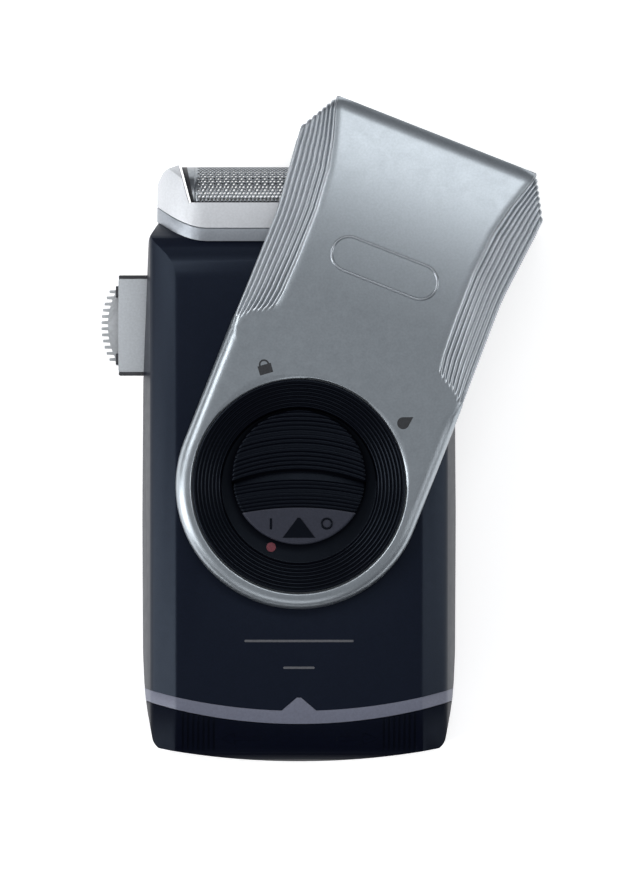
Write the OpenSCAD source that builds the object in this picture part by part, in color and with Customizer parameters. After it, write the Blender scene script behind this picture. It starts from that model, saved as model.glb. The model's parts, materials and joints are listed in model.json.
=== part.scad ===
// Pocket foil shaver with a twist cap, two AA cells and a pull-out side trimmer.
// It lies on its rear face: +X to the right, +Y towards the shaving head, +Z out of the front.
// The origin is on the rear face, under the axis that the twist cap turns about.

/* [Body] */
// Width of the casing
body_w = 60; // [59:0.5:61]
// Depth of the casing, rear face to front panel
body_d = 24; // [23.8:0.1:24.4]
// Wall thickness of the casing
wall = 1.8; // [1.6:0.1:1.9]
// Height of the middle of the bottom edge below the twist axis
bottom_y = -52.6; // [-53.5:0.1:-52]

/* [Head] */
// Half length of the shaving head
head_half = 27.2; // [26.8:0.1:27.4]
// Half depth of the shaving head
head_deep = 9.7; // [9.5:0.1:9.8]
// Height of the top of the foil frame above the twist axis
head_top = 61.5; // [61:0.1:61.8]
// Radius of the foil's arch
foil_r = 7; // [6.9:0.05:7.1]
// Number of blades on the cutter block
blade_count = 27; // [15:2:27]
// Stroke of the cutter block to each side
stroke = 1; // [0.6:0.1:1]

/* [Twist cap] */
// Angle of the cap from its closed place over the head
cap_angle = 21.5; // [10:0.5:40]
// Radius of the cap's round end
cap_round = 23.5; // [23.3:0.1:24]
// Reach of the cap from its axis to its top edge
cap_reach = 72; // [71.2:0.1:72.5]
// Radius about the axis that the hood leaves free for the head
sweep_r = 66.4; // [66:0.1:66.6]
// Height of the cap's flat front face
cap_front = 28.2; // [28:0.1:28.6]

/* [Switch] */
// Radius of the sliding knob
knob_r = 12.8; // [12:0.1:13]
// Distance of the knob from the middle of its well, towards the head
knob_up = 1.6; // [1:0.1:1.6]
// Radius of the well that the knob slides in
well_r = 14.9; // [14.8:0.1:15]

/* [Trimmer] */
// How far the trimmer is pulled out of its flush place
trimmer_out = 8.9; // [6:0.1:8.9]
// Number of teeth on the trimmer comb
tooth_count = 12; // [8:1:12]
// Distance from one tooth to the next
tooth_pitch = 1.18; // [1.1:0.02:1.2]

/* [Hidden] */
$fn = 96;

// Heights along Z
parting_z = 12.5;
head_z = 12.3;
panel_back = body_d - wall;

// The casing's outlines
body_half = body_w / 2;
panel_half = 23.4;
bevel_x = 28.2;
bevel_z = body_d - 2.6;
far = 100;

// Arcs across the front, each as [height of its centre, radius]
band_top = [63.6, 106.5];
band_low = [55.7, 101.1];
bottom_arc = [bottom_y + 143, 143];
seam_gap = 0.12;

// Arches along the head, each as [height of its axis, radius]
collar_low = [36.2, 14.2];
collar_top = [40, 13.2];
foil_axis_y = head_top - 0.5 - foil_r;
lip_y = 54;
neck_y = 42;

// Cells and motor
cell_r = 7.25;
cell_x = 7.6;
cell_z = 10.9;
cell_top = 7.7;
cell_low = -42.8;
motor_r = 10;
motor_flat = 7.5;
motor_y = [10.4, 34.2];
throw_r = stroke;

// Drive bridge and rocker
bridge_y = [38.6, 41.6];
bridge_half = 7.4;
post_top = 47.5;
rocker = [-17, 35.1];
rocker_arm_up = 4.5;
rocker_arm_out = 4;

// Trimmer
trimmer_y = [21, 40.2];
trimmer_z = [9, 16.2];
trimmer_end = -34.5;
trimmer_in = -22;
comb_mid = 30.6;
comb_tip_x = -38;
comb_arc = 14.4;
blade_z = 12.2;
comb_z = 12.65;
sheet_t = 0.4;
drive_slot_r = 0.86;

// Hub and switch
hub_r = 20.3;
hub_neck = 17;
hub_low = 26.2;
hub_floor = 25.2;
peg_at = [11, 7];
stem_r = 2.4;
knob_travel = 3.2;
dot_at = [-5.3, -11.7];

// Battery cap
insert_low = -47.6;
insert_top = -38.5;
seal_y = -40;

// Rounded outlines are drawn with one facet per this many degrees, or per this many millimetres
corner_step = 9;
arc_step = 3;

function unit(v) = v / norm(v);

// The points that round the corner b, between a and c, to radius r
function corner(a, b, c, r) = r <= 0 ? [b] : let (
    u = unit(a - b), w = unit(c - b), half = acos(u * w) / 2,
    mid = b + unit(u + w) * r / sin(half),
    first = b + u * r / tan(half) - mid, last = b + w * r / tan(half) - mid,
    a0 = atan2(first[1], first[0]), raw = atan2(last[1], last[0]) - a0,
    turn = raw > 180 ? raw - 360 : raw < -180 ? raw + 360 : raw,
    n = max(2, ceil(abs(turn) / corner_step), ceil(abs(turn) * r * PI / 180 / arc_step)))
    [for (i = [0 : n]) mid + r * [cos(a0 + turn * i / n), sin(a0 + turn * i / n)]];

// A closed outline from points [x, y, radius]
function rounded(p) = [for (i = [0 : len(p) - 1]) let (
    k = len(p), a = p[(i + k - 1) % k], b = p[i], c = p[(i + 1) % k])
    each corner([a[0], a[1]], [b[0], b[1]], [c[0], c[1]], b[2])];

// A right-hand half outline with its mirror image
function both_sides(p) = concat(p, [for (i = [len(p) - 1 : -1 : 0]) [-p[i][0], p[i][1], p[i][2]]]);

module prism_x(x0, x1) {
    translate([x0, 0, 0]) rotate([90, 0, 90]) linear_extrude(x1 - x0) children();
}

module prism_y(y0, y1) {
    translate([0, y1, 0]) rotate([90, 0, 0]) linear_extrude(y1 - y0) children();
}

module prism_z(z0, z1) {
    translate([0, 0, z0]) linear_extrude(z1 - z0) children();
}

// A box from one corner to the opposite one
module block(low, high) {
    translate(low) cube(high - low);
}

module rod_x(x0, x1, y, z, r) {
    translate([x0, y, z]) rotate([0, 90, 0]) cylinder(r = r, h = x1 - x0);
}

module rod_y(x, z, y0, y1, r) {
    translate([x, y0, z]) rotate([-90, 0, 0]) cylinder(r = r, h = y1 - y0);
}

module rod_z(x, y, z0, z1, r) {
    translate([x, y, z0]) cylinder(r = r, h = z1 - z0);
}

module ring_z(z0, z1, outer, inner) {
    difference() {
        rod_z(0, 0, z0, z1, outer);
        rod_z(0, 0, z0 - 1, z1 + 1, inner);
    }
}

// A spring along Y, as one tube swept round a helix
module coil_y(x, z, y0, y1, r, wire, turns) {
    sides = 6;
    steps = turns * 16;
    rise = y1 - y0 - 2 * wire;
    points = [for (i = [0 : steps]) let (a = 360 * turns * i / steps, y = y0 + wire + rise * i / steps)
        for (k = [0 : sides - 1]) let (b = 360 * k / sides, q = r + wire * cos(b))
            [x + q * cos(a), y + wire * sin(b), z + q * sin(a)]];
    faces = concat(
        [[for (k = [0 : sides - 1]) k]],
        [for (i = [0 : steps - 1]) for (k = [0 : sides - 1]) let (m = (k + 1) % sides)
            [i * sides + k, (i + 1) * sides + k, (i + 1) * sides + m, i * sides + m]],
        [[for (k = [sides - 1 : -1 : 0]) steps * sides + k]]);
    polyhedron(points = points, faces = faces, convexity = 6);
}

// ---- Casing shapes ----

// Section across the body, inset by d
function body_section(d) = rounded(both_sides([
    [panel_half - 0.4 * d, body_d - d, 1.5], [bevel_x - 0.9 * d, bevel_z - 0.7 * d, 2.5],
    [body_half - d, 15.5, 4], [body_half - d, 7, 5], [25.4 - 0.5 * d, d, 3]]));

// Outline from the front, inset by d
function body_outline(d) = rounded(both_sides([
    [26.4 - d, 51 - d, 0.6], [28.7 - d, 47.2 - 0.5 * d, 3], [29.8 - d, 20, 60],
    [body_half - d, -6, 60], [29.85 - d, -32, 50], [29.45 - d, -40.5, 40],
    [27.8 - d, -49.2 + 0.3 * d, 3], [22 - d, -54, 0]]));

// Profile from the side, inset by d, as [y, z]
function body_profile(d) = rounded([
    [-52.8 + d, d, 3.5], [-52.8 + d, body_d - d, 3.5], [42.6 - 0.4 * d, body_d - d, 12],
    [51 - d, 19 - 0.6 * d, 0], [51 - d, 5.8 + 0.6 * d, 0], [42.6 - 0.4 * d, d, 6]]);

module body_solid(d) {
    intersection() {
        prism_y(-far, far) polygon(body_section(d));
        prism_z(-1, body_d + 1) polygon(body_outline(d));
        prism_x(-far, far) polygon(body_profile(d));
    }
}

// Everything below an arch that runs along X
module below_arch(arch, extra = 0) {
    rod_x(-40, 40, arch[0], head_z, arch[1] + extra);
    block([-40, -60, head_z - arch[1] - extra], [40, arch[0], head_z + arch[1] + extra]);
    block([-40, -60, -20], [40, arch[0] - 4, 60]);
}

// The disc above an arc across the front
module above_arc(arc, extra = 0) {
    rod_z(0, arc[0], -5, 35, arc[1] + extra);
}

// The head's plan, a slot with round ends, inset by d
function head_plan(d) = rounded(both_sides([
    [head_half - d, head_z + head_deep - d, head_deep - d - 0.05],
    [head_half - d, head_z - head_deep + d, head_deep - d - 0.05]]));

module head_prism(d, y0, y1) {
    prism_y(y0, y1) polygon(head_plan(d));
}

// The pointer on the accent band, grown by g
module pointer(g) {
    prism_z(panel_back - 1, body_d + 1)
        polygon([[-3.9 - g, -43.4], [3.9 + g, -43.4], [0.4 + g, -40.4 + g], [-0.4 - g, -40.4 + g]]);
}

// Where the casing screws go, as [x, y]
screw_at = [[-20.6, 14.4], [20.6, 33], [-20.6, -33], [20.6, -33]];

module trimmer_opening(z0, z1) {
    block([-35, trimmer_y[0] - 0.2, z0], [-20, trimmer_y[1] + 0.2, z1]);
}

module gasket_ring(g) {
    difference() {
        prism_z(parting_z - 0.3 - g, parting_z + 0.3 + g) difference() {
            polygon(body_outline(0.65 - g));
            polygon(body_outline(1.2 + g));
        }
        block([-40, -60, 0], [40, -39, 30]);
        block([-40, 40.2, 0], [40, 60, 30]);
        block([-40, trimmer_y[0] - 1.2, 0], [-20, trimmer_y[1] + 5, 30]);
    }
}

// Both casing shells before they are parted
module casing_shell() {
    difference() {
        intersection() {
            body_solid(0);
            below_arch(collar_low);
            above_arc(band_top);
        }
        difference() {
            body_solid(wall);
            block([-40, neck_y - 1, -5], [40, 60, 40]);
        }
        block([-40, -60, wall], [40, -50, body_d - wall]);
        head_prism(4.4, neck_y - 3, neck_y + 0.1);
        head_prism(3.1, neck_y, 60);
        head_prism(1.6, 49, 60);
        pointer(0.05);
        gasket_ring(0.04);
        trimmer_opening(trimmer_z[0] - 0.2, trimmer_z[1] + 0.2);
    }
}

module front_casing() {
    color([0.10, 0.11, 0.16]) difference() {
        union() {
            intersection() {
                casing_shell();
                block([-40, -60, parting_z], [40, 60, 40]);
            }
            for (p = screw_at) rod_z(p[0], p[1], parting_z, panel_back + 0.2, 2.4);
        }
        for (p = screw_at) rod_z(p[0], p[1], parting_z - 1, panel_back - 1, 1.05);
        for (x = [-1, 1], y = [-1, 1]) rod_z(x * peg_at[0], y * peg_at[1], 20, 30, 1.8);
        stem_slot(20, 30);
        ring_z(panel_back + 1.1, body_d + 1, 16.45, 15.35);
    }
}

module rear_casing() {
    color([0.10, 0.11, 0.16]) difference() {
        union() {
            intersection() {
                casing_shell();
                block([-40, -60, -1], [40, 60, parting_z]);
            }
            for (p = screw_at) rod_z(p[0], p[1], wall - 0.2, parting_z, 2.4);
        }
        for (p = screw_at) {
            rod_z(p[0], p[1], -1, parting_z + 1, 1.2);
            rod_z(p[0], p[1], -1, 1.6, 2.1);
        }
        // the thumb slide's pocket and the slot for its stem
        block([-26, 27.1, -1], [-9, 33.9, 1]);
        block([-23.4, 29.5, 0], [-11.7, 31.5, 4]);
        // grip grooves
        for (y = [-32 : 3 : 10]) block([-14, y, -1], [14, y + 1, 0.45]);
        rear_bars(0.04);
    }
}

// Two soft bars set flush in the rear face, grown by g
module rear_bars(g) {
    for (s = [-1, 1]) block([-17 - g, s * 37 - 1 - g, -g], [17 + g, s * 37 + 1 + g, 0.8 + g]);
}

module rear_pads() {
    color([0.08, 0.08, 0.09]) rear_bars(0);
}

module casing_gasket() {
    color([0.15, 0.15, 0.15]) gasket_ring(0);
}

module casing_screws() {
    color([0.75, 0.75, 0.78]) for (p = screw_at) difference() {
        union() {
            rod_z(p[0], p[1], 0.35, 1.55, 1.95);
            rod_z(p[0], p[1], 1.5, 19.5, 1);
        }
        translate([p[0], p[1], 0.3]) for (a = [0, 90]) rotate([0, 0, a])
            block([-1.2, -0.25, -1], [1.2, 0.25, 0.7]);
    }
}

module accent_band() {
    color([0.42, 0.44, 0.51]) difference() {
        intersection() {
            body_solid(0);
            above_arc(band_low);
            union() {
                difference() {
                    block([-40, -60, -5], [40, -20, 40]);
                    above_arc(band_top, 0.02);
                }
                pointer(0);
            }
        }
        body_solid(wall);
    }
}

// ---- Inside the casing ----

module chassis() {
    color([0.80, 0.80, 0.78]) difference() {
        union() {
            block([-16.3, -37, 1.95], [16.3, 8.3, 2.75]);
            for (s = [-1, 1]) block([s * 15.7 - 0.6, -37, 1.95], [s * 15.7 + 0.6, 8.3, 15]);
            block([-21, 8.3, 1.95], [21, 9.8, 18.4]);
            block([-9.2, 9.5, 1.95], [9.2, 35.5, 4.7]);
            block([-11.6, 13, 1.95], [11.6, 30, 4.7]);
            for (s = [-1, 1], y = [14, 26]) block([s * 10.9 - 0.7, y, 4], [s * 10.9 + 0.7, y + 4, 12]);
            block([-9.2, 34.3, 1.95], [9.2, 35.5, 20.4]);
            block([-17, 34, 1.95], [-8, 36.2, 4.4]);
            rod_z(rocker[0], rocker[1], 1.95, 4.8, 2.2);
        }
        rod_y(0, head_z, 34, 36, 3.15);
        rod_z(rocker[0], rocker[1], 3, 5.5, 1.02);
        for (y = [-30 : 12 : 0]) block([-12, y, 0], [12, y + 7, 4]);
    }
}

module left_cell() {
    color([0.75, 0.60, 0.25]) {
        rod_y(-cell_x, cell_z, cell_low, cell_top - 1, cell_r);
        rod_y(-cell_x, cell_z, cell_top - 1, cell_top, 2.7);
    }
}

module right_cell() {
    color([0.75, 0.60, 0.25]) {
        rod_y(cell_x, cell_z, cell_low + 1, cell_top, cell_r);
        rod_y(cell_x, cell_z, cell_low, cell_low + 1, 2.7);
    }
}

module upper_contacts() {
    color([0.80, 0.78, 0.70]) for (s = [-1, 1]) difference() {
        block([s * cell_x - 5, 7.75, 5.5], [s * cell_x + 5, 8.15, 15.5]);
        rod_y(s * (cell_x + 3.6), 13.6, 7, 9, 0.6);
    }
}

module motor_profile(r, flat) {
    intersection() {
        circle(r = r);
        square([2 * r, 2 * flat], center = true);
    }
}

module motor_can() {
    color([0.72, 0.73, 0.75]) difference() {
        union() {
            translate([0, 0, head_z]) prism_y(motor_y[0] + 2, motor_y[1]) motor_profile(motor_r, motor_flat);
            rod_y(0, head_z, motor_y[1], motor_y[1] + 1.2, 3);
        }
        translate([0, 0, head_z]) prism_y(motor_y[0], motor_y[1] - 0.8)
            motor_profile(motor_r - 0.8, motor_flat - 0.8);
        rod_y(0, head_z, 30, 40, 1.05);
    }
}

module motor_end_cap() {
    color([0.15, 0.20, 0.35]) difference() {
        union() {
            translate([0, 0, head_z]) prism_y(motor_y[0], motor_y[0] + 2) motor_profile(motor_r, motor_flat);
            translate([0, 0, head_z]) prism_y(motor_y[0] + 2, motor_y[0] + 3)
                motor_profile(motor_r - 0.9, motor_flat - 0.9);
        }
        rod_y(0, head_z, motor_y[0] + 0.8, 20, 1.05);
        translate([0, 0, head_z]) prism_y(motor_y[0] + 1.2, 20) motor_profile(6, 6);
        for (s = [-1, 1]) block([s * 7 - 0.9, 0, head_z - 1.6], [s * 7 + 0.9, 20, head_z + 1.6]);
    }
}

module motor_terminals() {
    color([0.80, 0.65, 0.35]) for (s = [-1, 1])
        block([s * 7 - 0.2, 9.85, head_z - 1.5], [s * 7 + 0.2, 13.2, head_z + 1.5]);
}

module motor_magnets() {
    color([0.25, 0.25, 0.27]) translate([0, 0, head_z]) prism_y(15, 31) for (s = [-1, 1])
        intersection() {
            difference() {
                circle(r = motor_r - 0.85);
                circle(r = 6.9);
            }
            translate([s * 8, 0]) square([4.4, 9.6], center = true);
        }
}

module motor_shaft() {
    color([0.82, 0.82, 0.84]) rod_y(0, head_z, 11.3, 37.4, 1);
}

module armature() {
    color([0.62, 0.35, 0.18]) difference() {
        translate([0, 0, head_z]) prism_y(17, 29) difference() {
            circle(r = 6.3);
            for (a = [0, 120, 240]) rotate(a) translate([5.5, 0]) square([3, 1.4], center = true);
        }
        rod_y(0, head_z, 16, 30, 1);
    }
}

module commutator() {
    color([0.75, 0.48, 0.28]) difference() {
        rod_y(0, head_z, 13.6, 16.6, 2.2);
        rod_y(0, head_z, 13, 17, 1);
    }
}

module eccentric() {
    color([0.88, 0.88, 0.86]) difference() {
        union() {
            rod_y(0, head_z, 35.9, 37.9, 3.2);
            rod_y(0, head_z - throw_r, 37.8, 41.5, 0.9);
        }
        rod_y(0, head_z, 35, 37.5, 1);
    }
}

module drive_bridge() {
    slot_x = throw_r + stroke + 1;
    color([0.90, 0.90, 0.86]) difference() {
        union() {
            block([-bridge_half, bridge_y[0], head_z - 5], [bridge_half, bridge_y[1], head_z + 5]);
            rod_y(0, head_z, bridge_y[1] - 0.5, post_top, 2.2);
            block([-18.4, bridge_y[0], 7.3], [-bridge_half + 0.5, 41, 8.7]);
        }
        block([-slot_x, 30, head_z - 2.05], [slot_x, bridge_y[1] + 0.2, head_z + 2.05]);
        rod_y(0, head_z, 43.9, 60, 1.49);
        block([rocker[0] - 0.76, 38, 7], [rocker[0] + 0.76, 40.5, 9]);
    }
}

module drive_pin() {
    color([0.82, 0.82, 0.84]) rod_y(0, head_z, 44, 52.9, 1.48);
}

module bridge_flexures() {
    color([0.85, 0.85, 0.82]) for (s = [-1, 1])
        block([s * 7.62 - 0.2, 35.55, head_z - 3.4], [s * 7.62 + 0.2, 41.4, head_z + 3.4]);
}

module rocker_pin() {
    color([0.82, 0.82, 0.84]) rod_z(rocker[0], rocker[1], 3.05, 7.3, 0.98);
}

module rocker_lever() {
    x = rocker[0];
    y = rocker[1];
    color([0.90, 0.90, 0.86]) difference() {
        union() {
            rod_z(x, y, 5, 7, 2.1);
            block([x - 1.2, y, 5], [x + 1.2, y + rocker_arm_up, 7]);
            rod_z(x, y + rocker_arm_up, 5, 7, 1.2);
            rod_z(x, y + rocker_arm_up, 6.9, 8.6, 0.7);
            block([x - rocker_arm_out, y - 1.2, 5], [x, y + 1.2, 7]);
            rod_z(x - rocker_arm_out, y, 5, 7, 1.2);
            rod_z(x - rocker_arm_out, y, 6.9, 12.8, 0.8);
        }
        rod_z(x, y, 4, 8, 1.03);
    }
}

// ---- Shaving head ----

module head_deck() {
    color([0.14, 0.14, 0.16]) difference() {
        head_prism(3.2, neck_y + 0.02, neck_y + 1.9);
        block([-3.6, 40, head_z - 2.5], [3.6, 50, head_z + 2.5]);
    }
}

module collar() {
    color([0.78, 0.79, 0.82]) difference() {
        intersection() {
            head_prism(0, 40, 56);
            below_arch(collar_top);
        }
        head_prism(1.5, 38, 58);
        below_arch(collar_low, 0.04);
    }
}

module drive_boot() {
    color([0.12, 0.12, 0.12]) translate([0, 0, head_z]) rotate([-90, 0, 0]) rotate_extrude()
        polygon([[4.4, 43.95], [6.3, 43.95], [6.3, 44.6], [5.8, 44.7], [5.4, 46.3], [4.5, 45.4],
            [3.6, 47.2], [2.25, 47.2], [2.25, 46.5], [3.2, 46.4], [4.4, 44.7]]);
}

module cutter_spring() {
    color([0.80, 0.80, 0.82]) coil_y(0, head_z, post_top + 0.05, 51.55, 2.3, 0.3, 4);
}

module cutter_carrier() {
    color([0.93, 0.93, 0.92]) difference() {
        union() {
            block([-20, 51.6, head_z - 4.6], [20, 54.9, head_z + 4.6]);
            for (s = [-1, 1]) block([s * 20 - 0.6, 52.2, head_z - 3], [s * 20 + 0.6, 57.5, head_z + 3]);
        }
        rod_y(0, head_z, 50, 54.4, 1.56);
    }
}

module cutter_blades() {
    pitch = 38 / (blade_count - 1);
    color([0.80, 0.81, 0.83]) for (i = [0 : blade_count - 1]) let (x = -19 + i * pitch)
        difference() {
            rod_x(x - 0.2, x + 0.2, foil_axis_y, head_z, foil_r - 0.28);
            block([x - 1, 40, 0], [x + 1, 54.95, 30]);
            rod_x(x - 1, x + 1, foil_axis_y - 0.3, head_z, 4.2);
        }
}

// The window in the frame, which the foil fills, grown by g
module head_window(g, z0, z1) {
    prism_z(z0, z1) polygon([[-23.5 - g, 63], [-21.1 - g, lip_y], [21.1 + g, lip_y], [23.5 + g, 63]]);
}

module shaving_foil() {
    color([0.66, 0.67, 0.69]) difference() {
        union() {
            rod_x(-22.9, 22.9, foil_axis_y, head_z, foil_r);
            block([-20.6, 51.1, head_z - foil_r], [20.6, foil_axis_y, head_z + foil_r]);
        }
        rod_x(-30, 30, foil_axis_y, head_z, foil_r - 0.12);
        block([-30, 50, head_z - foil_r + 0.12], [30, foil_axis_y, head_z + foil_r - 0.12]);
        block([-30, 40, 0], [30, 51.1, 30]);
        for (s = [-1, 1]) mirror([s < 0 ? 1 : 0, 0, 0]) prism_z(0, 30)
            polygon([[23, 63], [20.6, lip_y], [20.6, 45], [30, 45], [30, 63]]);
    }
}

module foil_cartridge() {
    color([0.20, 0.21, 0.23]) {
        difference() {
            head_prism(1.8, 50.2, 51);
            block([-22, 49, head_z - 6.8], [22, 52, head_z + 6.8]);
        }
        for (s = [-1, 1]) {
            block([-19, 50.9, head_z + s * 7.55 - 0.42], [19, 53.4, head_z + s * 7.55 + 0.42]);
            block([s * 24.1 - 0.5, 50.9, head_z - 3.4], [s * 24.1 + 0.5, 58.6, head_z + 3.4]);
        }
    }
}

module foil_frame() {
    color([0.80, 0.81, 0.84]) difference() {
        intersection() {
            head_prism(0, 40, 70);
            prism_x(-40, 40) polygon(rounded([[40, head_z - head_deep, 0], [40, head_z + head_deep, 0],
                [head_top, head_z + head_deep, 7], [head_top, head_z - head_deep, 7]]));
            prism_z(0, 30) polygon(rounded(both_sides([[22.6, head_top, 2], [25.8, 60.2, 2.5],
                [27.6, 56.6, 3], [27.2, 52, 3], [27.2, 40, 0]])));
        }
        intersection() {
            head_prism(1.5, 38, 60.1);
            prism_x(-40, 40) polygon(rounded([[38, head_z - 8.2, 0], [38, head_z + 8.2, 0],
                [60.1, head_z + 8.2, 6], [60.1, head_z - 8.2, 6]]));
        }
        below_arch(collar_top, 0.15);
        head_window(0, -5, 35);
    }
}

// ---- Twist cap ----

// Outline of the cap from the front, pointing at the head, inset by d
function cap_outline(d) = rounded(both_sides([
    [20.2 - 0.6 * d, cap_reach - d, 0.8], [25 - d, 63.4 - 0.3 * d, 1.2], [23.3 - d, 47, 40],
    [cap_round - d, 20, 60], [cap_round - d, -cap_round + d, cap_round - d - 0.01]]));

// Profile of the cap from the side, as [y, z], inset by d
function cap_profile(d) = rounded([
    [-30, cap_front - d, 0], [51.5, cap_front - d, 138 - 8 * d], [cap_reach - d, 23.3 - d, 3 - 0.8 * d],
    [cap_reach - d, 0.6 + 0.8 * d, 0.3], [-30, 0.6 + 0.8 * d, 0]]);

module flank_cut(side, d) {
    mirror([side < 0 ? 1 : 0, 0, 0]) translate([19.5, 36, cap_front - d])
        rotate([0, 22, 14.4]) block([-30, -60, 0], [40, 60, 30]);
}

module cap_solid(d) {
    difference() {
        intersection() {
            prism_z(-2, 40) polygon(cap_outline(d));
            prism_x(-60, 60) polygon(cap_profile(d));
        }
        for (s = [-1, 1]) flank_cut(s, d);
    }
}

module twist_cap() {
    color([0.62, 0.65, 0.68]) rotate([0, 0, -cap_angle]) difference() {
        cap_solid(0);
        rod_z(0, 0, -5, 24.5, sweep_r);
        difference() {
            cap_solid(1.75);
            rod_z(0, 0, -5, 40, 22.2);
        }
        rod_z(0, 0, 20, 40, 17.08);
        rod_z(0, 0, 26, 40, hub_r + 0.2);
    }
}

// ---- Hub and switch ----

module stem_slot(z0, z1) {
    for (s = [-1, 1]) rod_z(0, s * (knob_travel / 2), z0, z1, stem_r + 0.2);
    block([-stem_r - 0.2, -knob_travel / 2, z0], [stem_r + 0.2, knob_travel / 2, z1]);
}

// The hub ring's section, as [radius, z], with a ribbed dish on its face
function hub_section() = concat(
    [[0.01, body_d + 0.02], [hub_neck, body_d + 0.02], [hub_neck, hub_low], [hub_r, hub_low],
     [hub_r, 27.9], [hub_r - 0.3, 28.2]],
    [for (i = [0 : 5]) let (r = 19.6 - 0.74 * i, z = 28.1 - 0.16 * i)
        each [[r, z], [r - 0.12, z - 0.34], [r - 0.3, z - 0.34], [r - 0.42, z - 0.05]]],
    [[well_r, 27.1], [well_r, hub_floor], [0.01, hub_floor]]);

module hub_ring() {
    color([0.09, 0.09, 0.11]) difference() {
        union() {
            rotate_extrude() polygon(hub_section());
            for (x = [-1, 1], y = [-1, 1]) rod_z(x * peg_at[0], y * peg_at[1], 20.6, 24.6, 1.7);
        }
        for (x = [-1, 1], y = [-1, 1]) rod_z(x * peg_at[0], y * peg_at[1], 20, 24.8, 0.92);
        stem_slot(20, 30);
        rod_z(dot_at[0], dot_at[1], 24.5, 30, 0.92);
    }
}

module switch_dot() {
    color([0.70, 0.20, 0.22]) rod_z(dot_at[0], dot_at[1], 24.6, 25.36, 0.9);
}

module hub_screws() {
    color([0.75, 0.75, 0.78]) for (x = [-1, 1], y = [-1, 1]) {
        rod_z(x * peg_at[0], y * peg_at[1], 19.4, 20.58, 1.9);
        rod_z(x * peg_at[0], y * peg_at[1], 20.5, 24.7, 0.9);
    }
}

module hub_gasket() {
    color([0.15, 0.15, 0.15]) ring_z(panel_back + 1.15, body_d, 16.4, 15.4);
}

module friction_washer() {
    color([0.75, 0.75, 0.78]) ring_z(body_d + 0.02, 24.42, 20, 17.2);
}

module switch_knob() {
    color([0.08, 0.08, 0.10]) translate([0, knob_up, 0]) difference() {
        union() {
            rod_z(0, 0, hub_floor + 0.25, 27.5, knob_r);
            translate([0, 0, 27.5]) cylinder(r1 = knob_r, r2 = knob_r - 0.6, h = 0.6);
            rod_z(0, 0, 21.9, 26, stem_r);
        }
        // the thumb valley
        rod_x(-20, 20, 0, 32.6, 6);
    }
}

module switch_slider() {
    color([0.88, 0.88, 0.86]) translate([0, knob_up, 0]) block([-6.5, -5, 19.5], [6.5, 5, 21.88]);
}

module switch_contact() {
    color([0.80, 0.65, 0.35]) translate([0, knob_up, 0]) block([-5, -2, 19.15], [5, 2, 19.48]);
}

module switch_leaf_contacts() {
    color([0.80, 0.65, 0.35]) for (s = [-1, 1]) block([s * 3.5 - 1, -7, 18.75], [s * 3.5 + 1, 9.6, 19.05]);
}

module dust_plate() {
    color([0.12, 0.12, 0.12]) translate([0, knob_up, 0]) difference() {
        rod_z(0, 0, 21.93, panel_back - 0.04, 8.8);
        rod_z(0, 0, 20, 24, stem_r + 0.02);
    }
}

// ---- Trimmer ----

module trimmer_carriage() {
    y0 = trimmer_y[0];
    y1 = trimmer_y[1];
    slot_half = 2;
    color([0.16, 0.17, 0.18]) difference() {
        union() {
            prism_z(trimmer_z[0], trimmer_z[1] - 1.2) polygon(rounded([[trimmer_end, y0, 0.8],
                [trimmer_in, y0, 0], [trimmer_in, y1, 0], [trimmer_end, y1, 0.8]]));
            for (y = [y0, y1 - 0.65]) prism_z(trimmer_z[0], trimmer_z[1]) polygon(rounded([
                [trimmer_end, y, 0.3], [trimmer_in, y, 0], [trimmer_in, y + 0.65, 0],
                [trimmer_end, y + 0.65, 0.3]]));
        }
        block([trimmer_end - 1, comb_mid - 8.2, blade_z - 0.1], [trimmer_in + 1, comb_mid + 8.2, 13.1]);
        block([-31.4, rocker[1] - slot_half, 0], [trimmer_in + 1, rocker[1] + slot_half, 13.1]);
        block([-23.2, 29.6, 0], [-20.8, 31.4, 9.8]);
    }
}

module trimmer_cover() {
    y0 = trimmer_y[0] + 0.7;
    y1 = trimmer_y[1] - 0.7;
    color([0.78, 0.79, 0.81])
        prism_z(trimmer_z[1] - 1.18, trimmer_z[1] + 0.05) polygon(rounded([[trimmer_end - 0.05, y0, 0.4],
            [trimmer_in, y0, 0], [trimmer_in, y1, 0], [trimmer_end - 0.05, y1, 0.4]]));
}

// A toothed sheet whose tips lie on an arc, shifted by dy and shortened by back
module toothed_sheet(dy, back) {
    half = (tooth_count - 1) / 2;
    root = 1.35;
    prism_z(0, sheet_t) union() {
        for (i = [0 : tooth_count - 1]) let (y = (i - half) * tooth_pitch,
            x = comb_tip_x + comb_arc - sqrt(comb_arc * comb_arc - y * y) + back)
            translate([x, comb_mid + dy + y - 0.3]) polygon([[0.1, 0.02], [0.1, 0.58], [3, 0.7], [3, -0.1]]);
        intersection() {
            translate([comb_tip_x + comb_arc + root + back, comb_mid + dy]) circle(r = comb_arc);
            translate([-40, comb_mid + dy - 7]) square([40 + trimmer_end + 2.6, 14]);
        }
    }
}

module trimmer_comb() {
    color([0.72, 0.74, 0.76]) difference() {
        union() {
            translate([0, 0, comb_z]) toothed_sheet(0, 0);
            block([trimmer_end - 0.6, comb_mid - 7.65, comb_z], [-31.9, comb_mid + 7.65, comb_z + sheet_t]);
        }
    }
}

module trimmer_brackets() {
    color([0.12, 0.13, 0.14]) for (s = [-1, 1])
        block([trimmer_end - 0.6, comb_mid + s * 6.4 - 1.05, 13.12], [trimmer_end - 0.02, comb_mid + s * 6.4 + 1.05, 15]);
}

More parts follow.
